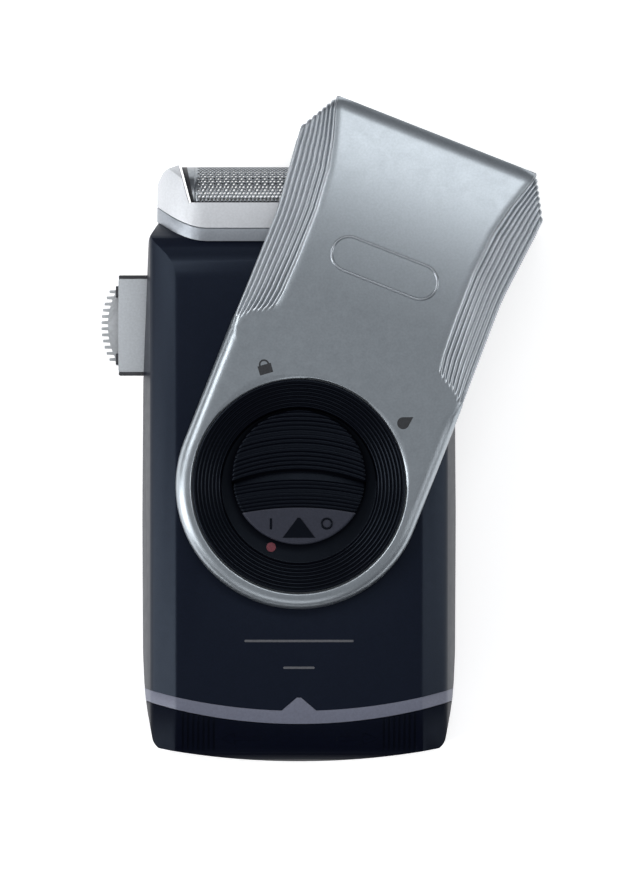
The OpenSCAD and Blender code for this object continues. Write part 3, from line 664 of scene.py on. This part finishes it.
def make_twist_cap():
    """The silver cover: a ribbed front, a wall along every edge and an inner skin."""
    outer, inner, faces = cap_shell()
    for loop in rims_of(outer, faces):
        ring = outer[loop]
        at_hub = np.hypot(ring[:, 0], ring[:, 1]).max() < HUB_HOLE + 0.5
        previous = loop
        for outer_row, inner_row in neck_rows(ring) if at_hub else rim_rows(ring, inner[loop]):
            row = list(range(len(outer), len(outer) + len(loop)))
            outer = np.vstack([outer, outer_row])
            inner = np.vstack([inner, inner_row])
            for j in range(len(loop)):
                k = (j + 1) % len(loop)
                faces.append([previous[k], previous[j], row[j], row[k]])
            previous = row
    outer = add_ribs(outer, faces)
    points, faces = close_shell(outer, inner, faces)
    # The ribbed flank faces take the darker copy of the silver, which paints shade into the ribs.
    add_piece("twist_cap_shell", turn_z(points, -CAP_TURN), faces, [SILVER, SILVER_RIBS_PAINTED_SHADE], "cover",
              ["twist_cap"], sharp=50.0, face_look=rib_shade_faces(points, faces))


make_twist_cap()


BADGE_CENTRE = (0.0, 44.5)
BADGE_HALF = 10.6
BADGE_END_R = 3.3
BADGE_WIRE = 0.32
BADGE_SUNK = 0.06
MARK_X = 14.3
MARK_Y = 18.6
LOCK_HALF = 1.3
LOCK_TOP = 0.5
SHACKLE_R = 0.85
SHACKLE_WIDTH = 0.32
DROP_R = 1.15
DROP_TIP = 1.9
DROP_Y = -0.35
PRINT_DEPTH = 0.2


def cap_point(x, y, lift=0.0):
    """A point on the cap's front, given along the cap's own axis."""
    place = np.array([[x, y, float(cap_surface(np.array(x), np.array(y))) + lift]])
    return turn_z(place, -CAP_TURN)[0]


def bar_outline(centre, half, tall, count=13):
    """A slim bar with round ends; tall is the radius of the ends."""
    x, y = centre
    angles = np.radians(np.linspace(-90, 90, count))
    right = [(x + half - tall + tall * math.cos(a), y + tall * math.sin(a)) for a in angles]
    return right + [(2 * x - px, 2 * y - py) for px, py in right]


def cap_inlay(name, outline):
    """A small dark mark printed on the cap's front."""
    flat = turn_z(np.column_stack([np.array(outline, float), np.zeros(len(outline))]), -CAP_TURN)[:, :2]
    points, faces = slab(flat, CAP_FRONT - PRINT_DEPTH, CAP_FRONT + 0.03, 0.02)
    add_piece(name, points, faces, DARK_PRINT, "cover")


def ring_outline(centre, radius, start, end, width, count=20):
    """A bent strip along an arc, angles in degrees."""
    x, y = centre
    angles = np.radians(np.linspace(start, end, count))
    strip = [(radius + width / 2, a) for a in angles] + [(radius - width / 2, a) for a in reversed(angles)]
    return [(x + r * math.cos(a), y + r * math.sin(a)) for r, a in strip]


def make_cap_badge():
    """A raised rounded outline on the cap's front."""
    path = [cap_point(x, y, -BADGE_SUNK) for x, y in bar_outline(BADGE_CENTRE, BADGE_HALF, BADGE_END_R, 15)]
    # The badge takes the darker copy of the silver: painted shade along its outline.
    add_tube("cap_badge", path, BADGE_WIRE, SILVER_RIBS_PAINTED_SHADE, "cover", closed=True)


def make_cap_marks():
    """A closed padlock and a water drop, turned to face the hub."""
    body = [(-LOCK_HALF, -LOCK_HALF), (LOCK_HALF, -LOCK_HALF), (LOCK_HALF, LOCK_TOP), (-LOCK_HALF, LOCK_TOP)]
    shackle = ring_outline((0, LOCK_TOP), SHACKLE_R, 0, 180, SHACKLE_WIDTH)
    angles = np.radians(np.linspace(28, -208, 24))
    drop = [(0.0, DROP_TIP)] + [(DROP_R * math.cos(a), DROP_Y + DROP_R * math.sin(a)) for a in angles]
    for name, outline, side in (("lock_body", body, -1), ("lock_shackle", shackle, -1), ("drop", drop, 1)):
        lean = -side * math.atan2(MARK_X, MARK_Y)
        turned = turn_z(np.column_stack([np.array(outline), np.zeros(len(outline))]), lean)
        cap_inlay("cap_mark_" + name, [(side * MARK_X + x, MARK_Y + y) for x, y in turned[:, :2]])


make_cap_badge()
make_cap_marks()


# ---- Hub ring and switch knob ----

WELL_R = 14.9
WELL_FLOOR = 25.2
WELL_HOLE = 4.5
HUB_UNDER = HUB_LOW[2] + 3.42
HUB_NECK = 17.0
HUB_LIP = 26.2
GROOVES = 7
GROOVE_PITCH = 0.69
GROOVE_START = 19.82
GROOVE_TOP = 28.17
GROOVE_FALL = 0.15
GROOVE_SECTION = ((0, 0), (0.06, 0.1), (0.12, 0.3), (0.26, 0.3), (0.34, 0.12), (0.42, 0.03), (0.55, 0.06))
PEG_PLACE = (11.0, 7.0)
PEG_BORE = 0.92
PEG_R = 1.7
PEG_TOP = 24.6


def hub_profile():
    """The hub ring's section: a flange with fine round grooves that step down to the well."""
    profile = [(WELL_HOLE, HUB_UNDER), (HUB_NECK, HUB_UNDER), (HUB_NECK, HUB_LIP),
               (HUB_R - 0.15, HUB_LIP), (HUB_R, HUB_LIP + 0.15), (HUB_R, CAP_FRONT - 0.3),
               (HUB_R - 0.12, CAP_FRONT - 0.08), (HUB_R - 0.35, CAP_FRONT)]
    for i in range(GROOVES):
        r = GROOVE_START - GROOVE_PITCH * i
        top = GROOVE_TOP - GROOVE_FALL * i
        profile += [(r - inward, top - down) for inward, down in GROOVE_SECTION]
    profile += [(WELL_R + 0.12, 27.05), (WELL_R + 0.02, 26.95), (WELL_R, 26.8), (WELL_R, WELL_FLOOR + 0.25),
                (WELL_R - 0.1, WELL_FLOOR + 0.06), (WELL_R - 0.3, WELL_FLOOR), (WELL_HOLE, WELL_FLOOR)]
    return profile


def make_hub_ring():
    """The grooved ring that pins the cover down, with its four screw pegs."""
    points, faces = lathe(hub_profile(), 192)
    peg = [(PEG_BORE, HUB_LOW[2]), (PEG_R, HUB_LOW[2]), (PEG_R, PEG_TOP), (PEG_BORE, PEG_TOP)]
    for sx in (-1, 1):
        for sy in (-1, 1):
            more, quads = lathe(peg, 24, (sx * PEG_PLACE[0], sy * PEG_PLACE[1]))
            join_to(points, faces, more, quads)
    add_piece("hub_ring_turned", points, faces, HUB_BLACK, "housing", ["hub_ring"], sharp=60.0)


make_hub_ring()

# The knob from its lower rim up: plain label, ribbed slope, thumb valley, ribbed crown.
LABEL_START = -5.6
LOWER_START = -0.5
UPPER_START = 1.6
LOWER_BEND = 56.0
UPPER_BEND = 35.0
KNOB_TOP = KNOB_HIGH[2]
CROWN_FALL = 0.55
CROWN_PITCH = 0.84
CROWN_GROOVE = 0.26
VALLEY_TOP = KNOB_TOP - 0.28
VALLEY_DEPTH = 1.35
VALLEY_RISE = 0.75
SLOPE_FOOT = KNOB_TOP - 1.05
SLOPE_RISE = 0.62
SLOPE_PITCH = 0.73
SLOPE_GROOVE = 0.24
GROOVE_POWER = 0.7
LABEL_RISE = 0.16
LABEL_EDGE = 0.35
LABEL_Z = KNOB_TOP - 0.27
KNOB_ROWS = 320
KNOB_COLUMNS = 57
KNOB_EDGE = 0.5
KNOB_SKIRT = ((27.0, 0.0), (25.9, 0.0), (25.55, 0.1), (25.45, 0.3))
STEM_BORE = 0.4
STEM_R = 2.4
STEM_TOP = 26.0


def knob_arc(c):
    """Radius of the grip lines at this height on the knob."""
    return float(np.interp(c, [LOWER_START, UPPER_START], [LOWER_BEND, UPPER_BEND]))


def knob_half(c):
    """Where the arc at height c meets the knob's rim."""
    bend = knob_arc(c)
    low = 0.0
    high = KNOB_R
    for _ in range(HALVINGS):
        x = (low + high) / 2
        y = c - (bend - math.sqrt(bend * bend - x * x))
        if x * x + y * y < KNOB_R * KNOB_R:
            low = x
        else:
            high = x
    return low


def groove_depth(distance, pitch, depth):
    """Depth of a row of grip grooves, this far from the first."""
    return depth * (1 - abs(math.sin(math.pi * distance / pitch)) ** GROOVE_POWER)


def knob_height(c):
    """The knob's height along its middle."""
    if c >= UPPER_START:
        share = (c - UPPER_START) / (KNOB_R - UPPER_START)
        crown = KNOB_TOP - 0.02 - CROWN_FALL * share * share
        return crown - groove_depth(c - UPPER_START, CROWN_PITCH, CROWN_GROOVE)
    if c >= LOWER_START:
        share = (UPPER_START - c) / (UPPER_START - LOWER_START)
        return VALLEY_TOP - VALLEY_DEPTH * float(smoothstep(share * 4)) + VALLEY_RISE * max(0.0, share - 0.25)
    if c >= LABEL_START:
        share = (LOWER_START - c) / (LOWER_START - LABEL_START)
        return SLOPE_FOOT + SLOPE_RISE * share - groove_depth(LOWER_START - c, SLOPE_PITCH, SLOPE_GROOVE)
    share = (LABEL_START - c) / LABEL_EDGE
    return LABEL_Z - LABEL_RISE * (1 - float(smoothstep(share)))


def crowded(count, mix):
    """Places from -1 to 1 that lie closer together at both ends."""
    return mix * np.sin(np.linspace(-math.pi / 2, math.pi / 2, count)) + (1 - mix) * np.linspace(-1, 1, count)


def make_switch_knob():
    """The round knob: grip lines along bent rows, a skirt down its side and a stem below."""
    levels = KNOB_R * crowded(KNOB_ROWS, 0.35)
    across = crowded(KNOB_COLUMNS, 0.5)
    points = []
    for c in levels:
        half = knob_half(c) if abs(c) < KNOB_R else 0.0
        bend = knob_arc(c)
        for x in half * across:
            y = c - (bend - math.sqrt(bend * bend - x * x))
            rim = max(KNOB_R - math.hypot(x, y), 0.0)
            points.append((x, y + KNOB_Y, knob_height(c) - float(roll_drop(rim, KNOB_EDGE))))
    faces = grid_faces(KNOB_ROWS, KNOB_COLUMNS)
    look = []
    for c in levels[:-1]:
        look += [int(c < LABEL_START - 0.2)] * (KNOB_COLUMNS - 1)

    starts = [i * KNOB_COLUMNS for i in range(KNOB_ROWS)]
    rim = [start + KNOB_COLUMNS - 1 for start in starts] + starts[::-1]
    count = len(rim)
    previous = rim
    for z, inset in KNOB_SKIRT:
        row = list(range(len(points), len(points) + count))
        share = 1 - inset / KNOB_R
        points += [(points[v][0] * share, KNOB_Y + (points[v][1] - KNOB_Y) * share, z) for v in rim]
        for j in range(count):
            k = (j + 1) % count
            faces.append([previous[j], row[j], row[k], previous[k]])
        previous = row
    faces.append(previous)

    foot = KNOB_LOW[2]
    stem = [(STEM_BORE, foot), (STEM_R - 0.1, foot), (STEM_R, foot + 0.1),
            (STEM_R, STEM_TOP), (STEM_BORE, STEM_TOP)]
    more, quads = lathe(stem, 32, (0, KNOB_Y))
    join_to(points, faces, more, quads)
    look += [0] * (len(faces) - len(look))
    add_piece("switch_knob_ribbed", points, faces, [KNOB_BLACK, LABEL], "switch",
              ["switch_knob"], sharp=60.0, face_look=look)


def knob_mark(name, outline, lift):
    """A small raised mark on the knob's plain label."""
    points, faces = slab(outline, LABEL_Z - 0.3, LABEL_Z + lift, 0.03)
    add_piece(name, points, faces, KNOB_BLACK, "switch")


def make_knob_marks():
    """A pointer in the middle of the label, a bar on its left and a ring on its right."""
    knob_mark("knob_pointer", [(-3.1, -9.9), (3.1, -9.9), (0.25, -6.1), (-0.25, -6.1)], 0.12)
    knob_mark("knob_on_bar", [(-5.55, -8.3), (-5.1, -8.3), (-5.1, -6.2), (-5.55, -6.2)], 0.06)
    x = 5.3
    y = -7.2
    radius = 0.95
    turns = np.linspace(0, 2 * math.pi, 33)[:-1]
    ring = [(x + radius * math.cos(a), y + radius * math.sin(a), LABEL_Z) for a in turns]
    add_tube("knob_off_ring", ring, 0.2, KNOB_BLACK, "switch", closed=True)


make_switch_knob()
make_knob_marks()


# ---- Printed bars on the panel and raised arrows on the battery cap ----


def make_panel_prints():
    """Two plain bars where the panel carries its words."""
    for name, y, half in (("print_upper", -29.6, 10.4), ("print_lower", -34.7, 3.0)):
        points, faces = slab(bar_outline((0, y), half, 0.22), PANEL_Z - PRINT_DEPTH, PANEL_Z + 0.02, 0.01)
        add_piece(name, points, faces, PRINT, "housing")


def make_cap_arrows():
    """Two raised arrows that show which way the battery cap slides."""
    y = -48.2
    upper = [(15.0, 0.0), (12.4, 1.1), (12.4, 0.35), (7.2, 0.35)]
    arrow = [(x, -dy) for x, dy in reversed(upper)] + upper[1:]
    for name, side in (("arrow_open", -1), ("arrow_close", 1)):
        outline = [(side * x, y + dy) for x, dy in arrow]
        points, faces = slab(outline, PANEL_Z - 0.3, PANEL_Z + 0.12, 0.05)
        add_piece(name, points, faces, CAP_BLACK, "end_cap")


make_panel_prints()
make_cap_arrows()


# ---- Shaving foil ----

HOLE_PITCH = 0.74
HOLE_SHARE = 0.66
HOLE_MARGIN = 0.75 * HOLE_PITCH
PERFORATED_HALF = 19.9
STRIP_END = 20.0
STRIP_SLANT = 0.21
STRIP_ROWS = 40
STRIP_COLUMNS = 5
WINDOW_END = 20.6
WINDOW_SLANT = 0.2667
LEG_ROWS = 5
LEG_COLUMNS = 21
FOIL_THICK = 0.12
FOIL_ARCH = math.pi * FOIL_R


def foil_point(x, along):
    """A point of the foil; along is the length round the arch from its front edge."""
    angle = math.pi / 2 - along / FOIL_R
    return (x, FOIL_AXIS_Y + FOIL_R * math.cos(angle), HEAD_Z + FOIL_R * math.sin(angle))


def hexagon(u, v, size):
    """The corners of a hexagon on the unrolled foil."""
    turns = [math.radians(60 * k + 30) for k in range(6)]
    return [(u + size * math.cos(a), v + size * math.sin(a)) for a in turns]


def perforated_sheet():
    """The arch as hexagons with a hole in each, plain along the edges; dark lists the front edge's faces,
    which are painted dark grey as shade along the foil's front edge.
    """
    size = HOLE_PITCH / math.sqrt(3)
    row_pitch = HOLE_PITCH * math.sqrt(3) / 2
    points = []
    faces = []
    dark = set()
    for i in range(int(FOIL_ARCH / row_pitch) + 2):
        for j in range(int(2 * PERFORATED_HALF / HOLE_PITCH) + 2):
            u = -PERFORATED_HALF + (j + 0.5 * (i % 2)) * HOLE_PITCH
            v = i * row_pitch
            first = len(points)
            points += [foil_point(min(max(x, -PERFORATED_HALF), PERFORATED_HALF), min(max(y, 0.0), FOIL_ARCH))
                       for x, y in hexagon(u, v, size)]
            if abs(u) < PERFORATED_HALF - HOLE_MARGIN and HOLE_MARGIN < v < FOIL_ARCH - HOLE_MARGIN:
                points += [foil_point(x, y) for x, y in hexagon(u, v, size * HOLE_SHARE)]
                for k in range(6):
                    n = (k + 1) % 6
                    faces.append([first + k, first + n, first + 6 + n, first + 6 + k])
            else:
                # The faces along the front edge carry painted shade.
                if v < HOLE_MARGIN:
                    dark.add(len(faces))
                faces.append([first + k for k in range(6)])
    return points, faces, dark


def add_foil_ends(points, faces, dark):
    """A plain strip at each end of the arch, then a margin out to the frame's window painted dark grey as the
    shade in the gap there.
    """
    for side in (-1, 1):
        first = len(points)
        # The outer column of each end strip is painted shade in the gap at the frame's window.
        dark |= {len(faces) + i * STRIP_COLUMNS + STRIP_COLUMNS - 1 for i in range(STRIP_ROWS)}
        for i in range(STRIP_ROWS + 1):
            along = FOIL_ARCH * i / STRIP_ROWS
            rise = foil_point(0, along)[1] - FOIL_AXIS_Y
            end = STRIP_END + rise * STRIP_SLANT
            xs = list(np.linspace(PERFORATED_HALF, end, STRIP_COLUMNS)) + [WINDOW_END + rise * WINDOW_SLANT]
            points += [foil_point(side * x, along) for x in xs]
        faces += grid_faces(STRIP_ROWS + 1, STRIP_COLUMNS + 1, first=first)


def add_foil_legs(points, faces):
    """The flat front and back of the foil, below the arch."""
    for side in (-1, 1):
        first = len(points)
        z = HEAD_Z + side * FOIL_R
        for y in np.linspace(FOIL_LOW[1], FOIL_AXIS_Y, LEG_ROWS):
            points += [(x, y, z) for x in np.linspace(-STRIP_END, STRIP_END, LEG_COLUMNS)]
        faces += grid_faces(LEG_ROWS, LEG_COLUMNS, first=first)


def make_foil():
    """The arched sheet, with the thickness of foil."""
    points, faces, dark = perforated_sheet()
    add_foil_ends(points, faces, dark)
    add_foil_legs(points, faces)
    face_look = [int(i in dark) for i in range(len(faces))]
    # The faces listed in dark take the dark grey plastic: painted shade in the gaps along the frame, not a
    # part of the foil.
    foil = add_piece("foil_perforated", points, faces, [FOIL_STEEL, GREY_PLASTIC], "foil_unit",
                     ["shaving_foil"], face_look=face_look)
    skin = foil.modifiers.new("thickness", "SOLIDIFY")
    skin.thickness = FOIL_THICK / MM
    skin.offset = -1.0


make_foil()


# ---- CAD pieces that keep their own shape ----


def smoothing_tree(limit):
    """A node group that shades a mesh smooth except across edges sharper than the limit."""
    tree = bpy.data.node_groups.new("smooth_by_angle", "GeometryNodeTree")
    tree.interface.new_socket("Geometry", in_out="INPUT", socket_type="NodeSocketGeometry")
    tree.interface.new_socket("Geometry", in_out="OUTPUT", socket_type="NodeSocketGeometry")
    start = tree.nodes.new("NodeGroupInput")
    plain = tree.nodes.new("GeometryNodeRemoveAttribute")
    plain.inputs["Name"].default_value = "custom_normal"
    faces = tree.nodes.new("GeometryNodeSetShadeSmooth")
    faces.domain = "FACE"
    edges = tree.nodes.new("GeometryNodeSetShadeSmooth")
    edges.domain = "EDGE"
    angle = tree.nodes.new("GeometryNodeInputMeshEdgeAngle")
    below = tree.nodes.new("FunctionNodeCompare")
    below.data_type = "FLOAT"
    below.operation = "LESS_THAN"
    below.inputs["B"].default_value = limit
    end = tree.nodes.new("NodeGroupOutput")
    tree.links.new(start.outputs[0], plain.inputs["Geometry"])
    tree.links.new(plain.outputs["Geometry"], faces.inputs["Geometry"])
    tree.links.new(faces.outputs["Geometry"], edges.inputs["Geometry"])
    tree.links.new(angle.outputs["Unsigned Angle"], below.inputs["A"])
    tree.links.new(below.outputs["Result"], edges.inputs["Shade Smooth"])
    tree.links.new(edges.outputs["Geometry"], end.inputs[0])
    return tree


SMOOTHING = smoothing_tree(math.radians(32))


def dress(node, look, edge):
    """Gives a CAD node its material and, where it has crisp edges, a small round on them."""
    piece = frame["nodes"][node]
    piece.data.materials.clear()
    piece.data.materials.append(look)
    joined = piece.modifiers.new("weld", "WELD")
    joined.merge_threshold = 1e-6
    if edge:
        bevel = piece.modifiers.new("edges", "BEVEL")
        bevel.width = edge / MM
        bevel.segments = 3
        bevel.limit_method = "ANGLE"
        bevel.angle_limit = math.radians(40)
        bevel.use_clamp_overlap = True
    smooth = piece.modifiers.new("smooth", "NODES")
    smooth.node_group = SMOOTHING


KEPT = [
    ("front_casing", PANEL, 0.1), ("rear_casing", REAR, 0.1), ("rear_pads", RUBBER, 0.12),
    ("casing_gasket", RUBBER, 0.0), ("casing_screws", STEEL, 0.08), ("accent_band", BAND, 0.1),
    ("chassis", WHITE_PLASTIC, 0.15), ("left_cell", CELL_WRAP, 0.3), ("right_cell", CELL_WRAP, 0.3),
    ("upper_contacts", BRASS, 0.05), ("hub_screws", STEEL, 0.08), ("hub_gasket", RUBBER, 0.1),
    ("friction_washer", STEEL, 0.05), ("switch_dot", RED, 0.2), ("motor_can", STEEL, 0.25),
    ("motor_end_cap", BLUE_PLASTIC, 0.15), ("motor_terminals", BRASS, 0.05), ("motor_magnets", MAGNET, 0.2),
    ("head_deck", GREY_PLASTIC, 0.1), ("collar", SILVER_COLLAR, 0.25),
    ("switch_leaf_contacts", BRASS, 0.05), ("rocker_pin", STEEL, 0.1),
    ("motor_shaft", STEEL, 0.1), ("armature", COPPER, 0.15), ("commutator", COPPER, 0.1),
    ("eccentric", WHITE_PLASTIC, 0.1), ("drive_bridge", WHITE_PLASTIC, 0.12), ("drive_pin", STEEL, 0.15),
    ("cutter_carrier", WHITE_PLASTIC, 0.15), ("cutter_blades", STEEL, 0.0),
    ("foil_cartridge", GREY_PLASTIC, 0.1), ("foil_frame", SILVER_HEAD, 0.22),
    ("switch_slider", WHITE_PLASTIC, 0.15), ("switch_contact", BRASS, 0.05), ("dust_plate", RUBBER, 0.05),
    ("trimmer_carriage", GREY_PLASTIC, 0.12), ("trimmer_cover", COVER_SILVER, 0.3),
    ("trimmer_comb", COMB_STEEL, 0.04), ("trimmer_brackets", GREY_PLASTIC, 0.12),
    ("trimmer_thumb_slide", GREY_PLASTIC, 0.1), ("trimmer_blade", COMB_STEEL, 0.03),
    ("rocker_lever", WHITE_PLASTIC, 0.12), ("battery_cap", CAP_BLACK, 0.08),
    ("cap_insert", GREY_PLASTIC, 0.1), ("cap_seal", RUBBER, 0.08),
    ("cell_springs", SPRING_STEEL, 0.0), ("cap_contact", BRASS, 0.05),
]

for kept_node, kept_look, kept_edge in KEPT:
    dress(kept_node, kept_look, kept_edge)


BEND_CUTS = 9
SOFT = [
    ("drive_boot", RUBBER, ("housing", "bridge"), 44.7, 46.2),
    ("bridge_flexures", WHITE_PLASTIC, ("housing", "bridge"), 36.0, BRIDGE_FOOT - 0.2),
    ("cutter_spring", SPRING_STEEL, ("bridge", "cutter"), 47.9, 51.3),
]


def slice_across(mesh, heights):
    """Cuts a mesh across Y at these heights, so that it has points to bend at."""
    work = bmesh.new()
    work.from_mesh(mesh)
    for height in heights:
        parts = list(work.verts) + list(work.edges) + list(work.faces)
        bmesh.ops.bisect_plane(work, geom=parts, plane_co=(0, height / MM, 0), plane_no=(0, 1, 0))
    work.to_mesh(mesh)
    work.free()


def soften(node, look, bodies, low, high):
    """A copy of a CAD node, cut across Y at even steps from one height to another so that it has points to
    bend at; bodies is not used.
    """
    piece = bpy.data.objects.new(node + "_soft", frame["nodes"][node].data.copy())
    slice_across(piece.data, np.linspace(low, high, BEND_CUTS))
    piece.data.materials.clear()
    piece.data.materials.append(look)
    bpy.context.scene.collection.objects.link(piece)
    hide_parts(node)
    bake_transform(piece)


for soft_row in SOFT:
    soften(*soft_row)


# ---- Floor, light and camera ----


FLOOR_HALF = 3.0
FLOOR_GLOW = 0.58
SKY_GLOW = 0.31
SKY_LOW = (0.05, (0.16, 0.17, 0.20, 1.0))
SKY_HIGH = (0.75, (0.94, 0.96, 1.0, 1.0))
LENS_WIDTH = 36.0
LENS_LENGTH = 432.0
CAMERA_PLACE = (0.00401, 0.00936, 2.02)

# Each soft box: name, place, the point it faces, its size and its power, in metres and watts.
LIGHTS = [
    ("box_head", (0.34, 0.84, 1.52), (0, 0, 0), (1.0, 0.45), 4.6),
    ("box_left", (-1.35, -0.30, 0.60), (0, 0, 0.01), (0.6, 1.5), 12.5),
    ("box_right", (1.45, -0.1, 0.70), (0, 0, 0.01), (0.5, 1.3), 6.0),
    ("box_foot", (-0.2, -1.3, 1.0), (0, 0, 0), (1.2, 0.5), 2.2),
    ("box_near", (-0.20, 0.14, 0.24), (-0.01, 0.03, 0.02), (0.14, 0.14), 0.28),
]


def place_object(name, data):
    """A new object of the scene."""
    holder = bpy.data.objects.new(name, data)
    bpy.context.scene.collection.objects.link(holder)
    return holder


def make_floor():
    """A pale floor that the shaver lies on."""
    h = FLOOR_HALF
    mesh = bpy.data.meshes.new("floor")
    mesh.from_pydata([(-h, -h, 0), (h, -h, 0), (h, h, 0), (-h, h, 0)], [], [[0, 1, 2, 3]])
    look = Look("floor_white", (0.93, 0.93, 0.93), 0.9, 0.0, 0.01, 0.0, 3.0)
    look.shader.inputs["Emission Color"].default_value = (1, 1, 1, 1)
    look.shader.inputs["Emission Strength"].default_value = FLOOR_GLOW
    mesh.materials.append(look.material)
    place_object("floor", mesh)


def add_light(name, place, aim, size, power):
    """A rectangular soft box."""
    lamp = bpy.data.lights.new(name, "AREA")
    lamp.shape = "RECTANGLE"
    lamp.size = size[0]
    lamp.size_y = size[1]
    lamp.energy = power
    holder = place_object(name, lamp)
    holder.location = place
    holder.rotation_euler = (Vector(aim) - Vector(place)).to_track_quat("-Z", "Y").to_euler()


def make_sky():
    """Even light from above that darkens towards the horizon."""
    world = bpy.data.worlds.new("studio")
    world.use_nodes = True
    nodes = world.node_tree.nodes
    links = world.node_tree.links
    place = nodes.new("ShaderNodeTexCoord")
    split = nodes.new("ShaderNodeSeparateXYZ")
    ramp = nodes.new("ShaderNodeValToRGB")
    for band, (position, colour) in zip(ramp.color_ramp.elements, (SKY_LOW, SKY_HIGH)):
        band.position = position
        band.color = colour
    links.new(place.outputs["Generated"], split.inputs["Vector"])
    links.new(split.outputs["Z"], ramp.inputs["Fac"])
    links.new(ramp.outputs["Color"], nodes["Background"].inputs["Color"])
    nodes["Background"].inputs["Strength"].default_value = SKY_GLOW
    bpy.context.scene.world = world


def make_camera():
    """A long lens straight above the front panel."""
    lens = bpy.data.cameras.new("camera")
    lens.sensor_width = LENS_WIDTH
    lens.lens = LENS_LENGTH
    holder = place_object("camera", lens)
    holder.location = CAMERA_PLACE
    bpy.context.scene.camera = holder


make_floor()
for light_row in LIGHTS:
    add_light(*light_row)
make_sky()
make_camera()
bpy.context.scene.view_settings.view_transform = "Standard"
